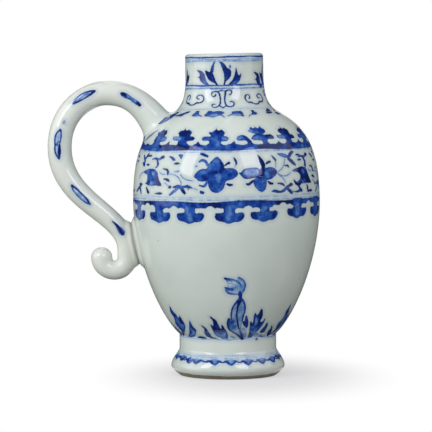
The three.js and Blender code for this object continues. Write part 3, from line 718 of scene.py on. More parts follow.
        (line, 0.45, [(-4.8, 19.4, 0.8), (-1.4, 19.2, 0.8), (0.6, 17.4, 0.8), (0.4, 16, 0.8)]),
        (line, 1.0, [(3.5, 13, 1.6), (3.7, 11.4, 3.0), (4.1, 9.8, 2.3), (4.2, 8.4, 2.6)]),
        (line, 0.98, [(4, 8.6, 2.8), (3.6, 6, 3.0), (3, 4, 2.3), (2.4, 1, 1.4), (2, -3, 1.2),
            (2.2, -7, 1.2), (2.8, -11, 1.3), (3.6, -15, 1.2), (4.3, -17.4, 0.9)]),
        (line, 0.88, [(3.2, 7.8, 1.6), (1.2, 4.9, 1.6), (-0.4, 2.3, 1.3), (-1.4, -0.4, 1.2),
            (-1.7, -4, 1.2), (-1.8, -8.6, 1.1)]),
        (line, 0.8, [(5.3, 7.6, 1.3), (6.9, 4.4, 1.4), (7.6, 1, 1.3), (7.3, -2.6, 1.1), (6.5, -6, 1.1),
            (6.1, -9.6, 1.1)]),
        (line, 0.9, [(-3.4, -8, 1.6), (-4, -11.4, 1.3), (-3.6, -14.6, 1.3), (-2.3, -17.5, 1.3),
            (0, -19.7, 1.3), (3, -22.1, 1.5), (5.3, -24.6, 2.4), (6.9, -26.4, 2.2)]),
        (line, 0.82, [(4.7, -18.6, 1.0), (6, -21.6, 1.5), (7, -24.4, 1.9)]),
        (shade, 0.36, [(-2, -9.8, 3.4), (-0.6, -10.6, 3)]),
        (shade, 0.2, [(-2, -12.6, 3.4), (0, -15, 4)]),
        (fill, 0.66, [(8.4, -5.5), (9.2, -6), (9.9, -8.6), (10.5, -11), (10.3, -14), (9.4, -16.4),
            (8, -15), (6.6, -13), (6.2, -10.4), (7.4, -10), (7.8, -8)]),
        (line, 0.9, [(8.7, -6.2, 1.2), (9.3, -9, 1.4), (9.9, -12, 1.2), (9.7, -15, 1.0)]),
        (shade, 0.24, [(7.2, -11, 2), (8, -12.4, 2)]),
        (wash, 0.2, [(7, -17, 2.4), (8, -21, 2.8), (8.6, -25, 2)]),
    ],
    "leftLeaves": [
        (fill, 0.66, [(11, 5.8), (12, 5.8), (13.4, 4.4), (14.6, 3.2), (15.2, 0.6), (15.4, -2),
            (15.6, -4), (16.2, -4.6), (16.8, -2.4), (17.6, -0.9), (18.4, -2.4), (18.6, -4.6),
            (19.2, -6.4), (18.5, -9.4), (17.7, -12), (17.6, -14), (20.2, -15.3), (17, -15.4),
            (14.4, -14.7), (12, -13), (10.2, -11), (9.8, -8), (9.7, -5), (9.5, -2.6), (9.7, -0.9),
            (10.4, -0.8), (11.2, -2), (12, 0.4), (12, 3), (11.2, 4.6)]),
        (shade, 0.36, [(12.4, 4, 3), (13.4, 0.6, 4), (13.2, -3.4, 5), (12.6, -6, 4)]),
        (shade, 0.4, [(17.4, -2.6, 2.4), (17.2, -5.6, 2.8)]),
        (shade, -0.14, [(12.6, -10, 4), (15.6, -9.6, 4), (14.6, -12.4, 4)]),
        (line, 0.8, [(19, -7, 0.8), (18.3, -10, 1.0), (17.4, -13, 1.0)]),
        (fill, 0.96, [(2.4, -2.1), (3.7, -2.2), (5, -3.6), (6, -5.4), (6.2, -8), (6.9, -10),
            (6.6, -12.2), (8, -13.5), (11, -14.4), (13, -15.1), (8, -14.9), (5.6, -14.1), (3.6, -13),
            (2.8, -11), (2.8, -8.4), (3.6, -6.2), (3.4, -4)]),
        (wash, 0.95, [(-4.8, -14, 0.9), (-2, -13.5, 2.2), (0, -13.8, 1.8), (2.2, -14.5, 1.1)]),
        (fill, 0.72, [(-5.5, 1.8), (-5.1, 0.6), (-4.8, -1.6), (-4.4, -3.6), (-3.4, -5), (-3, -6.4),
            (-3.6, -8.4), (-4.8, -10.6), (-6.6, -12.8), (-9, -14.2), (-12, -14.3), (-14.6, -13.8),
            (-12.4, -12), (-10.6, -9.6), (-9.4, -6.8), (-8.4, -4.4), (-7.4, -2.2), (-6.6, 0)]),
        (shade, 0.26, [(-5.6, -3.6, 2.6), (-4.4, -6, 3)]),
        (shade, -0.22, [(-6, -8, 1.6), (-8, -10.6, 2)]),
        (fill, 0.7, [(-22, 12.6), (-20.8, 11.4), (-19.8, 9), (-18, 7), (-16.6, 5.4), (-16.2, 4),
            (-15.4, 3.2), (-14.2, 5.2), (-13.2, 4.6), (-12.4, 2), (-11.6, -0.6), (-11.4, -3.2),
            (-12.4, -5.4), (-14.4, -8), (-16.4, -10.4), (-18.6, -13), (-20.4, -14.2), (-22, -13.8),
            (-20.4, -11.6), (-19.6, -8.8), (-20.6, -6.4), (-22, -4.6), (-23, -2.6), (-22.4, -1),
            (-21.6, 0.6), (-21.6, 3.6), (-22.6, 5.6), (-23.4, 7.6), (-22.6, 10)]),
        (shade, 0.24, [(-21.4, 9.6, 3), (-20.4, 6.4, 5)]),
        (shade, 0.28, [(-14, 2.4, 2.6), (-13.6, -0.6, 3)]),
        (shade, 0.2, [(-18, -7.4, 3), (-20, -3, 3)]),
        (shade, -0.14, [(-17.6, 0.4, 4), (-16, -4, 4)]),
        (wash, 0.3, [(21, -12.4, 2), (22, -14.4, 1.6)]),
    ],
    "rightLeaves": [
        (fill, 0.68, [(0.6, 11.6), (1.8, 10.2), (2.8, 6.6), (2.8, 3.6), (2.4, 1), (3.6, 0.4), (4.6, 1.4),
            (5.4, 3.3), (6, 2), (5.6, -1), (4.6, -4), (3, -7.4), (1.6, -9.6), (1, -12), (0.2, -14),
            (-2.6, -14.4), (-3, -12), (-3.4, -9.4), (-4, -6.4), (-4.6, -3.4), (-5.4, -0.4), (-5.3, 1.5),
            (-4.4, 1), (-3.6, -0.4), (-3.4, 2), (-3.9, 5), (-3.7, 8), (-2.9, 8), (-2, 6.8), (-0.9, 7),
            (-0.3, 9.4), (0, 10.8)]),
        (shade, 0.3, [(0.8, 9.4, 3), (0.4, 5.6, 4), (1.4, 2.4, 3)]),
        (line, 0.88, [(-3.4, 7.2, 1.2), (-3.2, 4.6, 1.4), (-2.6, 1.6, 1.3), (-2.2, -1.4, 1.2)]),
        (shade, -0.26, [(-0.8, 3.4, 1.8), (-0.4, -0.6, 2.4)]),
        (shade, 0.26, [(2.6, -1.6, 4), (4.4, -0.2, 3), (5.2, 1.8, 2)]),
        (shade, 0.32, [(-4.8, 0.6, 2), (-4, -0.6, 2)]),
        (shade, 0.34, [(-2.4, -9.6, 2), (-1.8, -12.6, 3)]),
        (shade, -0.12, [(1, -6.4, 3), (0.4, -9, 2)]),
        (wash, 0.32, [(2.4, -10.6, 3.4), (4.4, -12.6, 3.4), (7, -12.4, 2.4)]),
        (fill, 0.86, [(8.4, -0.5), (9.6, -1.4), (10.1, -3), (9.9, -5.6), (9.6, -8.4), (8, -10),
            (6.6, -10.1), (5.4, -9.6), (5.4, -7.6), (6.4, -5.6), (7.6, -3.2)]),
        (wash, 0.95, [(7.6, -13.6, 1.2), (9.6, -13.9, 1.6), (12.2, -14.3, 1.1)]),
        (wash, 0.88, [(4.2, -15.2, 1.6), (5, -15.3, 1.4)]),
        (fill, 0.88, [(13.8, -3.5), (15.6, -4.6), (16.6, -7), (17.5, -10), (17.1, -13), (16, -14.3),
            (14.6, -14), (13.6, -12), (12.8, -9.6), (13.4, -7.4), (14.4, -6)]),
    ],
    "footPoint": [
        (fill, 0.42, [(-3.8, -0.4), (-1.8, 0.4), (0, 0.8), (1.8, 0.4), (3.8, -0.4), (2.8, -1.5),
            (1.4, -2.7), (0.2, -3.6), (-1.4, -2.8), (-2.8, -1.6)]),
        (line, 0.88, [(-4, -0.6, 1.0), (-2.8, -1.4, 1.6), (-1.4, -2.5, 1.8), (0.2, -3.4, 1.4)]),
        (line, 0.82, [(4, -0.7, 1.0), (2.8, -1.4, 1.4), (1.5, -2.4, 1.6), (0.2, -3.4, 1.4)]),
        (line, 0.78, [(-8.8, -0.6, 0.9), (-7, -1.5, 1.0), (-5.4, -1.6, 1.0), (-3.6, -0.9, 1.0)]),
        (line, 0.78, [(3.6, -0.9, 1.0), (5.4, -1.6, 1.0), (7, -1.5, 1.0), (8.8, -0.6, 0.9)]),
        (line, 0.55, [(-2, -0.5, 0.8), (0, -1.4, 0.9), (2, -0.5, 0.8)]),
    ],
    "handleComma": [
        (fill, 0.5, [(-8, 0.3), (-5.4, 1.5), (-2, 1.5), (1, 1), (4, 1.3), (7, 0.6), (8, -0.6), (6, -2),
            (3, -1.9), (0, -1.2), (-3, -1.1), (-6, -1.2)]),
        (line, 0.95, [(-7.6, 0.2, 2.2), (-5.4, 0.3, 2.4)]),
        (line, 0.95, [(4, -0.4, 1.6), (6, -0.7, 2.6), (7.4, -0.8, 1.8)]),
        (line, 0.8, [(-4, 0.9, 0.9), (0, 0.4, 0.8), (4, 0.6, 0.9)]),
    ],
    "handleSpindle": [
        (fill, 0.3, [(-8, 0), (-5, 1.5), (0, 2.1), (5, 1.5), (8, 0), (5, -1.4), (0, -2.1), (-5, -1.3)]),
        (line, 0.88, [(-8, 0, 1.6), (-5, 1.2, 1.4), (0, 1.8, 0.8), (5, 1.2, 1.3), (8, 0, 1.8)]),
        (line, 0.88, [(-8, 0, 1.6), (-5, -1.1, 1.2), (0, -1.8, 0.9), (5, -1.2, 1.2), (8, 0, 1.8)]),
        (line, 0.6, [(-4, 0.2, 0.7), (0, -0.3, 0.7), (3, 0.3, 0.7)]),
    ],
    "handleBlade": [
        (fill, 0.26, [(-10.6, 0.4), (-8.4, 1.9), (-4, 2.3), (0, 2), (4, 2.4), (7, 2), (10.4, 0.6),
            (7.6, -1.2), (4, -2.2), (0, -1.8), (-4, -2.4), (-8, -1.6)]),
        (line, 0.85, [(-10.4, 0.4, 1.4), (-8.2, 1.5, 1.2), (-4.4, 1.9, 0.8), (-0.6, 1.5, 0.8)]),
        (line, 0.85, [(-9.8, 0, 1.0), (-7, -1.5, 1.2), (-3.6, -2, 1.2), (-0.4, -1.5, 0.9)]),
        (line, 0.92, [(0.4, 1.4, 1.4), (3.4, 1.3, 2.2), (6.6, 1.1, 2.0), (10, 0.5, 1.0)]),
        (line, 0.85, [(0, -1.4, 1.2), (3.4, -1.6, 1.0), (7, -1, 1.0), (10, 0.3, 0.9)]),
        (line, 0.6, [(-2, 0.3, 1.2), (0.4, -0.2, 1.2)]),
    ],
    "handleLong": [
        (fill, 0.28, [(-9.2, 0.2), (-5.6, 1.3), (0, 1.7), (5.6, 1.3), (9.2, 0), (5.6, -1.3), (0, -1.6),
            (-5.6, -1.2)]),
        (line, 0.92, [(-9.2, 0.2, 1.4), (-5.6, 1.1, 1.3), (0, 1.4, 1.0), (5.6, 1.1, 1.3),
            (9.2, 0, 1.3)]),
        (line, 0.7, [(-9.2, 0, 1.2), (-5.6, -1.1, 0.9), (0, -1.4, 0.8), (5.6, -1.1, 0.9),
            (9.2, 0, 1.2)]),
    ],
    "handleDrop": [
        (fill, 0.4, [(-6.2, 0), (-2.6, 1), (1, 1.9), (4, 2.2), (5.6, 1), (5.4, -1), (3.4, -2),
            (0.4, -1.6), (-3, -0.6)]),
        (line, 0.95, [(-6.2, 0, 0.9), (-3, 0.2, 1.5), (0.4, 0.3, 2.2), (3.2, 0.2, 3.0), (4.8, 0, 2.4)]),
    ],
    "handleDot": [
        (wash, 0.2, [(-0.6, 0, 1.4), (0.6, 0.1, 1.4)]),
    ],
}


def around(motif, run, angles):
    return [(motif, angle, run) for angle in angles]


def evenly(first, count):
    return [first + 360 * i / count for i in range(count)]


placements = (  # (motif, degrees from the front, mm up from the belly joint)
    around("lotusSpray", 103, [-5, 177, 267]) + around("lotusSpray", 101, [87])
    + around("doubleScroll", 80, evenly(-3, 4))
    + around("cloudScroll", 80, [44, 134, 224, 312])
    + around("leafRow", 80, evenly(-3, 3)) + around("leafEnd", 80, [-3, 117]) + around("leafTip", 80, [238.4])
    + around("shoulderPair", 44, [-8, -56, 71, 119, 167, 215, 259])
    + around("scrollHead", 44, [26]) + around("sideLeaf", 48, [-70.5])
    + around("bandDeep", 39.3, [-43, -30, 29, 45]) + around("bandDeep", 0, [-57, -10, 37])
    + around("rootLeaf", 62.5, [-74, 254])
    + around("lotusFlower", 20, [-6, 110, 222])
    + around("sideLotus", 20, [26, 142, 256])
    + around("profileLotus", 20, [-46, 61, 177])
    + around("profileLeaves", 20, [-46]) + around("profileRightShadeAndStems", 20, [61])
    + around("hangingHead", -4, [-22.6, 1.6, -45]) + around("hangingHead", -3.3, [23, 292])
    + around("hangingHead", -2, [47.8, 70.3])
    + around("hangingHead", -2.8, [92.8 + 22.5 * i for i in range(6)] + [227.6, 249.6, 271])
    + around("scallops", -4, [-33.8, -10.3, 12.4])
    + around("scallops", -2.6, [35.5] + [59 + 22.5 * i for i in range(8)] + [238.6, 260.4, 281.6, 303.5])
    + around("tulipPlant", -74, evenly(5, 3))
    + around("leftLeaves", -86, evenly(-30, 3))
    + around("rightLeaves", -86, evenly(28, 3))
    + around("footPoint", -114.2, [-73, -59, 70.5]) + around("footPoint", -115.5, [-45, -35.5, 38.6, 55.5])
    + around("footPoint", -115.7, [-14.3, 3.1, 21.3])
    + around("footPoint", -115, [89 + 18 * i for i in range(11)])
)

ringLines = [  # (mm up from the belly joint, width, tone, layer)
    (113.0, 1.1, 0.76, line), (110.9, 1.7, 0.18, wash), (110.1, 0.5, 0.32, line),
    (93.7, 1.2, 0.66, line), (91.6, 1.0, 0.28, wash), (76, 0.5, 0.1, line),
    (39.3, 4.4, 0.73, wash), (36.3, 0.8, 0.06, wash),
    (5.2, 0.8, 0.12, line), (3.5, 0.8, 0.05, wash), (0.1, 4.8, 0.76, wash),
    (-100.7, 0.9, 0.24, line), (-112.4, 0.5, 0.2, line), (-114.6, 2.2, 0.08, wash),
]


def smoothLine(points, closed=False, steps=4):  # a smooth line through the points
    p = np.array(points, float)
    before, after = (p[-1:], p[:2]) if closed else (2 * p[:1] - p[1:2], 2 * p[-1:] - p[-2:-1])
    p = np.vstack([before, p, after])
    t = np.linspace(0, 1, steps + 1)[:-1, None]
    smooth = []
    for a, b, c, d in zip(p[:-3], p[1:-2], p[2:-1], p[3:]):
        smooth.append(0.5 * (2 * b + (c - a) * t + (2 * a - 5 * b + 4 * c - d) * t ** 2
                             + (3 * b - a - 3 * c + d) * t ** 3))
    return np.vstack(smooth if closed else smooth + [p[-2:-1]])


def offsets(x, y, a, b):  # how far along a to b each point lies, and how far away
    dx, dy = b[0] - a[0], b[1] - a[1]
    t = np.clip(((x - a[0]) * dx + (y - a[1]) * dy) / (dx * dx + dy * dy + 1e-9), 0, 1)
    return t, np.hypot(x - a[0] - t * dx, y - a[1] - t * dy)


def strokeDepth(x, y, stroke, leastWidth=0.2):  # mm inside the stroke, negative outside
    best = np.full(len(x), -outOfReach)
    for a, b in zip(stroke[:-1], stroke[1:]):
        t, away = offsets(x, y, a, b)
        best = np.maximum(best, np.maximum(a[2] + (b[2] - a[2]) * t, leastWidth) / 2 - away)
    return best


def fillDepth(x, y, outline):  # mm inside a closed outline, negative outside
    nearest = np.full(len(x), outOfReach)
    inside = np.zeros(len(x), bool)
    for a, b in zip(outline, np.roll(outline, -1, axis=0)):
        nearest = np.minimum(nearest, offsets(x, y, a, b)[1])
        crossed = (a[1] > y) != (b[1] > y)
        inside ^= crossed & (x < a[0] + (y - a[1]) * (b[0] - a[0]) / (b[1] - a[1] + 1e-12))
    return np.where(inside, nearest, -nearest)


class Painting:  # what each vertex holds: how deep it lies in a wash or a line, and how dark that is
    reach = 3.0  # mm outside a stroke that its depth is kept for
    blend = 0.7  # one wash runs into the next over this width
    shadeEdge = 1.6  # and a shade fades over this
    shadeInset = 0.6
    startTone = 0.3

    def __init__(self, count):
        self.depth = {layer: np.full(count, -self.reach) for layer in (wash, line)}
        self.tone = {layer: np.full(count, self.startTone) for layer in (wash, line)}

    def lay(self, layer, tone, spots, depth):
        before = self.depth[layer][spots]
        share = np.where(before < 0, depth > before, np.clip(depth / self.blend + 0.5, 0, 1))
        self.tone[layer][spots] += (tone - self.tone[layer][spots]) * share
        self.depth[layer][spots] = np.maximum(before, depth)

    def mark(self, kind, tone, spots, x, y, points):
        if kind == bare:
            self.depth[wash][spots] = np.minimum(self.depth[wash][spots], -fillDepth(x, y, points))
        elif kind == shade:
            near = strokeDepth(x, y, points) / self.shadeEdge + self.shadeInset
            self.tone[wash][spots] += tone * smoothstep(near)
        elif kind == fill:
            self.lay(wash, tone, spots, fillDepth(x, y, points))
        else:
            self.lay(kind, tone, spots, strokeDepth(x, y, points))

    def store(self, piece):
        for layer in (wash, line):
            writeAttribute(piece, layer + "Depth", self.depth[layer])
            writeAttribute(piece, layer + "Tone", self.tone[layer])


brushwork = {name: [(kind, tone, smoothLine(points, kind in (fill, bare))) for kind, tone, points in marks]
             for name, marks in motifs.items()}

unpainted = -999  # the run that marks the inside and the underside
ringHand = {"sway": 0.18, "tremor": 0.1, "swell": 0.18}  # how far the painter's ring lines wander, in mm


def isPainted(run):
    return run > unpainted / 2


def paintSection(piece, angle, run, radius):
    painting = Painting(len(angle))
    shown = isPainted(run)
    low, high = run[shown].min() - painting.reach, run[shown].max() + painting.reach
    for centre, width, tone, layer in ringLines:
        sway = ringHand["sway"] * np.sin(3 * angle + centre)
        sway += ringHand["tremor"] * np.sin(11 * angle + 2 * centre)
        swell = 1 + ringHand["swell"] * np.sin(7 * angle + centre)
        depth = width * swell / 2 - np.abs(run - centre - sway)
        spots = np.flatnonzero(shown & (depth > -painting.reach))
        if len(spots):
            painting.lay(layer, tone, spots, depth[spots])
    for name, degrees, centre in placements:
        across = (angle - math.radians(degrees) + math.pi) % (2 * math.pi) - math.pi
        x, y = across * radius, run - centre
        for kind, tone, points in brushwork[name]:
            lowX, lowY = points[:, :2].min(0) - painting.reach
            highX, highY = points[:, :2].max(0) + painting.reach
            if centre + highY < low or centre + lowY > high:
                continue
            spots = np.flatnonzero(shown & (y > lowY) & (y < highY) & (x > lowX) & (x < highX))
            if len(spots):
                painting.mark(kind, tone, spots, x[spots], y[spots], points)
    painting.store(piece)


# materials

porcelainGlaze = {  # porcelain under a thick glossy glaze, clear and faintly grey-green, cobalt below it
    # the thin glaze colour whitens the handle's coil: thinner glaze, and partly painted light
    "glaze": ("#cad6ca", "#d5ded3"), "thinGlazeLitColour": "#dce3d6", "haze": "#a3bac5",
    # the seam colour darkens that crease at the handle's tail: brown dirt and painted shade
    "speck": "#6b5a45", "seam": "#7d7058",
    "cobalt": ((0.0, "#c3d2da"), (0.25, "#8aa9c5"), (0.45, "#5880b2"),
               (0.65, "#2956a2"), (0.85, "#153889"), (1.0, "#0e2059")),
    "patterns": {  # size in mm and detail
        "cloud": (34, 2.0), "wetEdge": (1.1, 3.0), "mottle": (4.5, 4.0), "heap": (0.9, 2.0),
        "speckCloud": (60, 2.0), "ripple": (15, 1.0), "roughness": (9.0, 3.0),
    },
    "ranges": {  # low and high, and what they become
        "wetEdge": (0.3, 0.7, -0.16, 0.16),  # mm that the brush's edge wanders
        "mottle": (0.3, 0.7, -0.19, 0.19),  # cobalt gathers in clouds
        "heap": (0.58, 0.72, 0.0, 0.22),  # and in dark specks
        "pool": (0.0, 0.9, 0.16, -0.05),  # and along the edge of a wash, here in mm
        "bleed": (-2.8, 0.0, 0.0, 0.55),  # and stains the glaze round it
        "speckCloud": (0.4, 0.6, 0.03, -0.01),
        "roughness": (0.3, 0.7, 0.03, 0.06),
        "specular": (0.0, 1.0, 0.5, 0.9),
    },
    "inkEdge": 0.3, "ior": 1.5, "speckGap": 17, "speckRange": (0.035, 0.05, 0.75, 0.0),
    "rippleHeight": 0.16, "turningRing": 16.336, "turningHeight": 0.012,
}

biscuit = {  # unglazed porcelain, wiped bare before firing: matt, cream to rust where the fire flashed it; both clay colours are kept dark by dirt and painted shade for the ring in shadow under the foot
    "clayDirtAndShade": ("#7c7463", "#a0957f"), "grain": 0.7, "flash": 14, "roughness": 0.75, "grainHeight": 0.06,
}


def newMaterial(name):
    material = bpy.data.materials.new(name)
    material.use_nodes = True
    tree = material.node_tree
    tree.nodes.clear()
    return material, tree


def setStops(ramp, stops):
    marks = ramp.color_ramp.elements
    while len(marks) < len(stops):
        marks.new(0.5)
    for mark, (position, colour) in zip(marks, stops):
        mark.position = position
        mark.color = hexColour(colour)


def rangeInputs(value, span):
    low, high, newLow, newHigh = span
    return {"Value": value, "From Min": low, "From Max": high, "To Min": newLow, "To Max": newHigh}


def glazeMaterial():
    s = porcelainGlaze
    material, tree = newMaterial("cobaltPaintedPorcelain")
    place = addNode(tree, "ShaderNodeTexCoord").outputs["Object"]
    held = {}
    for label in ("washDepth", "washTone", "lineDepth", "lineTone", "thinGlazeAndLight", "seam", "lustre"):
        held[label] = addNode(tree, "ShaderNodeAttribute", attribute_name=label).outputs["Fac"]
    level = {}
    for label, (size, detail) in s["patterns"].items():
        noise = addNode(tree, "ShaderNodeTexNoise", {"Vector": place, "Scale": perMm(size), "Detail": detail})
        level[label] = noise.outputs["Fac"]
    depths = {0: held["washDepth"], 1: held["lineDepth"]}
    nearest = addNode(tree, "ShaderNodeMath", depths, operation="MAXIMUM")
    level.update({"pool": held["washDepth"], "bleed": nearest.outputs[0], "specular": held["lustre"]})
    for label, span in s["ranges"].items():
        level[label] = addNode(tree, "ShaderNodeMapRange", rangeInputs(level[label], span)).outputs["Result"]

    clear = addNode(tree, "ShaderNodeValToRGB", {"Fac": level["cloud"]})
    setStops(clear, [(0.3, s["glaze"][0]), (0.7, s["glaze"][1])])
    painted = clear.outputs["Color"]
    for share, colour in ((held["thinGlazeAndLight"], s["thinGlazeLitColour"]), (level["bleed"], s["haze"])):
        over = addNode(tree, "ShaderNodeMix", {0: share, 6: painted, 7: hexColour(colour)}, data_type="RGBA")
        painted = over.outputs[2]
    for layer, extras in ((wash, ("mottle", "heap", "pool")), (line, ("mottle", "heap"))):
        tone = held[layer + "Tone"]
        for label in extras:
            tone = addNode(tree, "ShaderNodeMath", {0: tone, 1: level[label]}, operation="ADD").outputs[0]
        ink = addNode(tree, "ShaderNodeValToRGB", {"Fac": tone})
        setStops(ink, s["cobalt"])
        depth = addNode(tree, "ShaderNodeMath", {0: held[layer + "Depth"], 1: level["wetEdge"]},
                        operation="ADD")
        edge = (-s["inkEdge"], s["inkEdge"], 0.0, 1.0)
        mask = addNode(tree, "ShaderNodeMapRange", rangeInputs(depth.outputs[0], edge),
                       interpolation_type="SMOOTHSTEP")
        over = addNode(tree, "ShaderNodeMix", {
            0: mask.outputs["Result"], 6: painted, 7: ink.outputs["Color"]}, data_type="RGBA")
        painted = over.outputs[2]
    spot = addNode(tree, "ShaderNodeTexVoronoi", {"Vector": place, "Scale": perMm(s["speckGap"])})
    grown = addNode(tree, "ShaderNodeMath", {0: spot.outputs["Distance"], 1: level["speckCloud"]},
                    operation="ADD")
    speck = addNode(tree, "ShaderNodeMapRange", rangeInputs(grown.outputs[0], s["speckRange"]))
    for share, colour in ((speck.outputs["Result"], s["speck"]), (held["seam"], s["seam"])):
        over = addNode(tree, "ShaderNodeMix", {0: share, 6: painted, 7: hexColour(colour)}, data_type="RGBA")
        painted = over.outputs[2]

    ripple = addNode(tree, "ShaderNodeBump", {
        "Height": level["ripple"], "Strength": 1.0, "Distance": s["rippleHeight"] * mm})
    wheelMarks = addNode(tree, "ShaderNodeTexWave", {
        "Vector": place, "Scale": perMm(s["turningRing"]) * waveTurn, "Distortion": 1.5, "Detail": 2.0},
        bands_direction="Z")
    rings = addNode(tree, "ShaderNodeBump", {
        "Height": wheelMarks.outputs["Fac"], "Strength": 1.0, "Distance": s["turningHeight"] * mm,
        "Normal": ripple.outputs[0]})
    shader = addNode(tree, "ShaderNodeBsdfPrincipled", {
        "Base Color": painted, "Roughness": level["roughness"], "IOR": s["ior"], "Normal": rings.outputs[0],
        "Specular IOR Level": level["specular"]})
    addNode(tree, "ShaderNodeOutputMaterial", {"Surface": shader.outputs[0]})
    return material


def biscuitMaterial():
    s = biscuit
    material, tree = newMaterial("unglazedPorcelain")
    place = addNode(tree, "ShaderNodeTexCoord").outputs["Object"]
    flash = addNode(tree, "ShaderNodeTexNoise", {"Vector": place, "Scale": perMm(s["flash"]), "Detail": 4.0})
    grain = addNode(tree, "ShaderNodeTexNoise", {"Vector": place, "Scale": perMm(s["grain"]), "Detail": 3.0})
    colour = addNode(tree, "ShaderNodeValToRGB", {"Fac": flash.outputs["Fac"]})
    setStops(colour, [(0.3, s["clayDirtAndShade"][0]), (0.7, s["clayDirtAndShade"][1])])
    rough = addNode(tree, "ShaderNodeBump", {
        "Height": grain.outputs["Fac"], "Distance": s["grainHeight"] * mm})
    shader = addNode(tree, "ShaderNodeBsdfPrincipled", {
        "Base Color": colour.outputs["Color"], "Roughness": s["roughness"], "Normal": rough.outputs[0]})
    addNode(tree, "ShaderNodeOutputMaterial", {"Surface": shader.outputs[0]})
    return material


glaze = glazeMaterial()
bareClay = biscuitMaterial()

# thrown pieces

turning = {
    "wheelRadius": 50, "weld": 0.004, "rowStep": 0.5, "innerRows": 14, "slantMargin": 0.6,
    "footLustre": (18, 26), "neckLustre": (2, 16), "lustre": (0.85, 0.6),
}
turnSection = turnSectionTree()

thrownPieces = {
    "glazed_lower_body": {"span": (waistJoint, 85), "columns": 700, "nodes": ["lower_body"]},
    "glazed_belly": {"span": (85, bellyJoint), "columns": 820, "nodes": ["belly_slip_joint"]},
    "glazed_upper_body": {"span": (bellyJoint, 158), "columns": 820, "nodes": ["upper_body"]},
    "glazed_shoulder": {"span": (158, neckJoint), "columns": 720, "nodes": ["neck_slip_joint"]},
}

neckPiece = {"columns": 440, "lipSteps": 14, "innerStep": 2.0}
footPiece = {
    "columns": 560, "bareHeight": 2.6, "bareWave": 0.2, "bareSide": 0.9,
    "floorRings": 6, "fillets": 8, "wellMargin": 1,
}


def rowsBetween(low, high):
    count = max(2, int((high - low) / turning["rowStep"]))
    return np.linspace(low, high, count + 1)


def lustreAt(height):  # the glaze pooled thicker and shinier on the foot and towards the rim
    low, high = turning["footLustre"]
    start, end = turning["neckLustre"]
    foot, rim = turning["lustre"]
    return np.interp(height, [low, high, neckJoint + start, neckJoint + end], [foot, 0, 0, rim])


def throwPiece(name, outline, run, closed, columns):
    wheel = turning["wheelRadius"]
    path = [((r - wheel) * mm, -z * mm, 0) for r, z in outline]
    edges = [(i, i + 1) for i in range(len(path) - 1)] + ([(len(path) - 1, 0)] if closed else [])
    piece = growMesh(name, path, edges, {"run": run}, turnSection, {
        "Wheel Radius": wheel * mm, "Facets": columns, "Weld": turning["weld"] * mm, "Material": glaze})
    points = meshPoints(piece)
    angle = np.arctan2(points[:, 0], -points[:, 1])
    radius = np.hypot(points[:, 0], points[:, 1])
    paintSection(piece, angle, readAttribute(piece, "run"), radius)
    lute(piece, points, angle)
    writeAttribute(piece, "lustre", lustreAt(points[:, 2]))
    movePoints(piece, kilnLean(points))
    facesOutward(piece)
    print("thrown:", name, len(piece.data.polygons), "faces")
    return piece


def lute(piece, points, angle):  # raises the body into a fillet round the handle
    touched = (points[:, 0] < luting["nearestX"]) & (np.abs(points[:, 1]) < luting["halfWidth"])
    near = np.flatnonzero(touched & isPainted(readAttribute(piece, "run")))
    seam = np.zeros(len(points))
    if len(near):
        height = points[near, 2]
        distance = distanceToHandle(points[near])
        push = filletRise(distance, height) / slantAt(height)
        points[near, 0] += push * np.sin(angle[near])
        points[near, 1] -= push * np.cos(angle[near])
        points[near, 2] -= push * slopeAt(height)
        # painted darker along the crease: brown dirt and painted shade
        seam[near] = creaseDirtAndShadeAt(distance, height)
    writeAttribute(piece, "seam", seam)


def wallOutline(low, high):
    run = rowsBetween(runAt(low), runAt(high))
    heights = np.linspace(high, low, turning["innerRows"])
    slant = slantAt(np.clip(heights, low + turning["slantMargin"], high - turning["slantMargin"]))
    inner = np.column_stack([radiusAt(heights) - jugShape["bodyWall"] * slant, heights])
    return np.vstack([outsideAt(run), inner]), np.concatenate([run, np.full(len(inner), unpainted)])


def neckOutline():
    wall = jugShape["neckWall"]
    lip = rimTop - wall / 2
    run = rowsBetween(runAt(neckJoint), runAt(lip))
    turn = np.linspace(0, math.pi, neckPiece["lipSteps"] + 1)[1:]
    middle = jugShape["neckRadius"] - wall / 2
    crown = np.column_stack([middle + np.cos(turn) * wall / 2, lip + np.sin(turn) * wall / 2])
    heights = np.arange(lip, neckJoint, -neckPiece["innerStep"])[1:].tolist() + [neckJoint]
    lowest = neckJoint + turning["slantMargin"]
    inner = [(radiusAt(h) - wall * slantAt(max(h, lowest)), h) for h in heights]
    crownRun = runAt(lip) + np.minimum(turn, math.pi / 2) * wall / 2
    runs = [run, crownRun, np.full(len(inner), unpainted)]
    return np.vstack([outsideAt(run), crown, inner]), np.concatenate(runs)


def footOutline():
    s = jugShape
    wall, thickness, fillet = s["waistRadius"] - s["footWall"], s["floorThickness"], s["floorFillet"]
    base = [(r, 0) for r in np.linspace(0, s["baseRadius"], footPiece["floorRings"])[:-1]]
    run = rowsBetween(outsideRun[0], runAt(waistJoint))
    turn = np.linspace(0, math.pi / 2, footPiece["fillets"] + 1)
    corner = wall - fillet
    well = np.column_stack([corner + np.cos(turn) * fillet, thickness + fillet - np.sin(turn) * fillet])
    floor = [(r, thickness) for r in np.linspace(corner, 0, footPiece["floorRings"])[1:]]
    outline = np.vstack([base, outsideAt(run), [(wall, waistJoint)], well, floor])
    runs = [np.full(len(base), unpainted), run, np.full(1 + len(well) + len(floor), unpainted)]
    return outline, np.concatenate(runs)


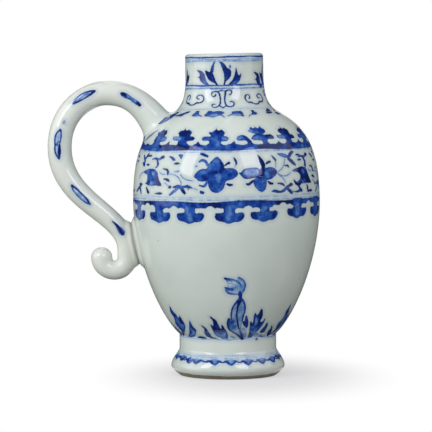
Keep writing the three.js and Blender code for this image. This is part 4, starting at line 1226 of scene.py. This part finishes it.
def leaveBare(piece):  # the foot's standing ring and underside stay unglazed
    s = footPiece
    piece.data.materials.append(bareClay)
    centres = np.empty(len(piece.data.polygons) * 3, np.float32)
    piece.data.polygons.foreach_get("center", centres)
    x, y, height = centres.reshape(-1, 3).T / mm
    well = np.hypot(x, y) < jugShape["waistRadius"] - jugShape["footWall"] + s["wellMargin"]
    angle = np.arctan2(x, -y)
    wander = np.sin(angle - 0.3) + 0.5 * np.sin(3 * angle)  # of the sponge that wiped it
    wiped = s["bareHeight"] - s["bareWave"] * wander + s["bareSide"] * np.sin(angle) ** 4
    unglazed = (height < wiped) & ~(well & (height > jugShape["floorThickness"] / 2))
    piece.data.polygons.foreach_set("material_index", unglazed.astype(np.int32))


def standFor(piece, nodes):
    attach(piece, "root")
    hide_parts(*nodes)


def throwAll():
    for name, plan in thrownPieces.items():
        section = throwPiece(name, *wallOutline(*plan["span"]), True, plan["columns"])
        standFor(section, plan["nodes"])
    neck = throwPiece("glazed_neck", *neckOutline(), True, neckPiece["columns"])
    standFor(neck, ["neck"])
    foot = throwPiece("glazed_foot", *footOutline(), False, footPiece["columns"])
    leaveBare(foot)
    standFor(foot, ["foot", "foot_slip_joint"])


throwAll()

# the handle

handlePainting = [  # (motif, mm along the path from the root, mm across towards the inside of the loop)
    ("handleComma", 32, -0.1), ("handleSpindle", 65, -2.5), ("handleDot", 87, -0.2),
    ("handleBlade", 103, -1.1), ("handleLong", 142.5, -0.3), ("handleDrop", 177.6, 0.5),
]


handleGlaze = {  # mm along the path; the glaze runs thin and whiter on the coil, its lighter colour partly painted light for the brighter-lit handle
    "thinLitFrom": 8, "thinLitOver": 30, "leastThinLit": 0.3,
    "lustreFrom": 10, "lustreOver": 20, "lustre": 0.7,
    "markLength": 14, "markWidth": 6,  # no mark reaches further from its middle
}


def rollHandle():
    s = handleGlaze
    edges = [(i, i + 1) for i in range(len(handlePoints) - 1)]
    held = {"half": handleHalf * mm, "along": handleAlong}
    piece = growMesh("glazed_handle", handlePoints * mm, edges, held, rollHandleTree(), {
        "Sides": handleShape["sides"], "Oval": handleShape["oval"], "Material": glaze})
    points = meshPoints(piece)
    along = readAttribute(piece, "along")
    step = handleAt(along + 1) - handleAt(along - 1)
    tangent = step / np.linalg.norm(step, axis=1)[:, None]
    outward = np.column_stack([-tangent[:, 2], np.zeros(len(along)), tangent[:, 0]])  # in the path's plane
    offset = points - handleAt(along)
    bearing = np.arctan2(np.einsum("ij,ij->i", offset, outward), -offset[:, 1])
    half = np.interp(along, handleAlong, handleHalf)
    painting = Painting(len(points))
    for name, distance, shift in handlePainting:
        x, y = along - distance, bearing * half - shift
        spots = np.flatnonzero((np.abs(x) < s["markLength"]) & (np.abs(y) < s["markWidth"]))
        for kind, tone, stroke in brushwork[name]:
            painting.mark(kind, tone, spots, x[spots], y[spots], stroke)
    painting.store(piece)
    # whiter glaze away from the root, partly painted light
    writeAttribute(piece, "thinGlazeAndLight", np.clip((along - s["thinLitFrom"]) / s["thinLitOver"], s["leastThinLit"], 1))
    writeAttribute(piece, "lustre", s["lustre"] * np.clip((along - s["lustreFrom"]) / s["lustreOver"], 0, 1))
    gap = distanceToBody(points)
    length = np.linalg.norm(offset, axis=1)[:, None] + 1e-6
    points += offset / length * filletRise(gap, points[:, 2])[:, None]
    writeAttribute(piece, "seam", creaseDirtAndShadeAt(gap, points[:, 2]))
    movePoints(piece, kilnLean(points))
    facesOutward(piece)
    print("rolled: glazed_handle", len(piece.data.polygons), "faces")
    return piece


standFor(rollHandle(), ["handle", "handle_root_slip_joint", "handle_tail_slip_joint"])

# studio

studio = {
    "cameraDistance": 1800, "eyeHeight": 212, "axisOffset": -8.35, "pitch": 3.23, "clipEnd": 100000,
    "frameWidth": 300.2317,  # what the picture spans at the jug's axis
    "floorSize": 8000, "floorAlbedo": 0.24, "floorShade": 0.3, "floorGlow": 0.5,
    "shadowZone": (40, 170), "shadowCentre": (12, -14), "shadowStretch": (1.5, 1, 1),
    "worldLevel": 0.48,
    "feltInner": 45, "flagRadius": 1750, "flagHeight": 2600, "flagPanels": 60, "flagGap": 12,
    "feltShade": 0.03, "softboxTint": "#ede6ff", "lampTarget": 120,
    "lights": {  # azimuth from the camera, elevation, distance, width, height, roll, watts
        "leftSoftbox": (-49, 28.0, 1500, 450, 840, -10, 5.2),
        "rightSoftbox": (32, 27.2, 1500, 560, 800, 10, 5.4),
        "leftPanel": (-78, 14, 1600, 1400, 1400, 0, 6.5),
        "rightPanel": (80, 26, 1600, 1400, 1400, 0, 4.2),
        "frontFill": (-32, 0, 1700, 1400, 1000, 0, 17),
    },
    "throughSilk": ("frontFill",),  # too soft to show in the glaze
}


def makeCamera():
    s = studio
    camera = bpy.data.cameras.new("photoCamera")
    camera.lens = camera.sensor_width * s["cameraDistance"] / s["frameWidth"]
    camera.clip_end = s["clipEnd"] * mm
    holder = bpy.data.objects.new("photoCamera", camera)
    holder.location = (s["axisOffset"] * mm, -s["cameraDistance"] * mm, s["eyeHeight"] * mm)
    holder.rotation_euler = (math.radians(90 - s["pitch"]), 0, 0)
    bpy.context.scene.collection.objects.link(holder)
    bpy.context.scene.camera = holder


def seenDirectly(tree):  # 1 for what is seen or mirrored, 0 for what only lights the jug
    rays = addNode(tree, "ShaderNodeLightPath").outputs
    seen = rays["Is Camera Ray"]
    for ray in ("Is Glossy Ray", "Is Transmission Ray"):
        seen = addNode(tree, "ShaderNodeMath", {0: seen, 1: rays[ray]}, operation="MAXIMUM").outputs[0]
    return seen


def grey(level):
    return (level, level, level, 1)


def makeFloor():  # white paper, shaded only near the jug, where a painted shadow pool dims it inside a stretched off-centre zone
    s = studio
    half = s["floorSize"] / 2 * mm
    corners = [(-half, -half, 0), (half, -half, 0), (half, half, 0), (-half, half, 0)]
    mesh = bpy.data.meshes.new("studioFloor")
    mesh.from_pydata(corners, [], [(0, 1, 2, 3)])
    floor = bpy.data.objects.new("studioFloor", mesh)
    bpy.context.scene.collection.objects.link(floor)
    material, tree = newMaterial("whitePaperFloor")
    paper = addNode(tree, "ShaderNodeBsdfDiffuse", {"Color": grey(s["floorAlbedo"])})
    dimmed = addNode(tree, "ShaderNodeBsdfDiffuse", {"Color": grey(s["floorShade"])})
    glow = addNode(tree, "ShaderNodeEmission", {"Color": grey(1), "Strength": s["floorGlow"]})
    near = addNode(tree, "ShaderNodeAddShader", {0: dimmed.outputs[0], 1: glow.outputs[0]})
    white = addNode(tree, "ShaderNodeEmission", {"Color": grey(1), "Strength": 1.0})
    place = addNode(tree, "ShaderNodeTexCoord").outputs["Object"]
    # painted shadow: inside this zone the paper is dimmed, a painted pool on top of the shade the lamps cast;
    # outside it is pure white
    stretch = s["shadowStretch"]
    centre = tuple(c * mm * k for c, k in zip(s["shadowCentre"] + (0,), stretch))
    stretched = addNode(tree, "ShaderNodeVectorMath", {0: place, 1: stretch}, operation="MULTIPLY")
    away = addNode(tree, "ShaderNodeVectorMath", {0: stretched.outputs["Vector"], 1: centre},
                   operation="DISTANCE")
    zone = tuple(edge * mm for edge in s["shadowZone"]) + (0.0, 1.0)
    fade = addNode(tree, "ShaderNodeMapRange", rangeInputs(away.outputs["Value"], zone),
                   interpolation_type="SMOOTHSTEP")
    shown = addNode(tree, "ShaderNodeMixShader", {
        0: fade.outputs["Result"], 1: near.outputs[0], 2: white.outputs[0]})
    blend = addNode(tree, "ShaderNodeMixShader", {
        0: seenDirectly(tree), 1: paper.outputs[0], 2: shown.outputs[0]})
    addNode(tree, "ShaderNodeOutputMaterial", {"Surface": blend.outputs[0]})
    mesh.materials.append(material)


def makeFlags():  # black felt round the set, seen only in reflections, with a gap for the backdrop
    s = studio
    panels = s["flagPanels"]
    bends = np.radians(np.linspace(s["flagGap"], 360 - s["flagGap"], panels + 1))
    wide, high = s["flagRadius"], s["flagHeight"]
    rings = [(s["feltInner"], 1), (wide, 1), (wide, high), (1, high)]
    points = [(math.sin(a) * r * mm, math.cos(a) * r * mm, z * mm) for a in bends for r, z in rings]
    corners = [(i, k) for i in range(panels) for k in range(len(rings) - 1)]
    first = [i * len(rings) + k for i, k in corners]
    mesh = bpy.data.meshes.new("feltFlags")
    mesh.from_pydata(points, [], [(a, a + len(rings), a + len(rings) + 1, a + 1) for a in first])
    flags = bpy.data.objects.new("feltFlags", mesh)
    bpy.context.scene.collection.objects.link(flags)
    flags.visible_camera = flags.visible_diffuse = flags.visible_shadow = False
    flags.visible_transmission = False
    material, tree = newMaterial("blackFelt")
    felt = addNode(tree, "ShaderNodeEmission", {"Color": grey(1), "Strength": s["feltShade"]})
    addNode(tree, "ShaderNodeOutputMaterial", {"Surface": felt.outputs[0]})
    mesh.materials.append(material)


def makeWorld():
    world = bpy.data.worlds.new("whiteStudio")
    world.use_nodes = True
    tree = world.node_tree
    tree.nodes.clear()
    level = addNode(tree, "ShaderNodeMapRange", {
        "Value": seenDirectly(tree), "To Min": studio["worldLevel"], "To Max": 1.0})
    light = addNode(tree, "ShaderNodeBackground", {"Color": grey(1), "Strength": level.outputs[0]})
    addNode(tree, "ShaderNodeOutputWorld", {"Surface": light.outputs[0]})
    bpy.context.scene.world = world


def makeLights():
    target = Vector((0, 0, studio["lampTarget"] * mm))
    for name, (azimuth, elevation, distance, width, height, roll, watts) in studio["lights"].items():
        lamp = bpy.data.lights.new(name, "AREA")
        lamp.shape = "RECTANGLE"
        lamp.size, lamp.size_y, lamp.energy = width * mm, height * mm, watts
        if "Softbox" in name:
            lamp.color = hexColour(studio["softboxTint"])[:3]
        a, e = math.radians(azimuth), math.radians(elevation)
        away = Vector((math.sin(a) * math.cos(e), -math.cos(a) * math.cos(e), math.sin(e)))
        holder = bpy.data.objects.new(name, lamp)
        holder.location = target + away * distance * mm
        aim = away.to_track_quat("Z", "Y") @ Quaternion((0, 0, 1), math.radians(roll))
        holder.rotation_euler = aim.to_euler()
        holder.visible_glossy = name not in studio["throughSilk"]
        bpy.context.scene.collection.objects.link(holder)


makeCamera()
makeFloor()
makeFlags()
makeWorld()
makeLights()
bpy.context.scene.view_settings.view_transform = "Standard"
print("studio ready")
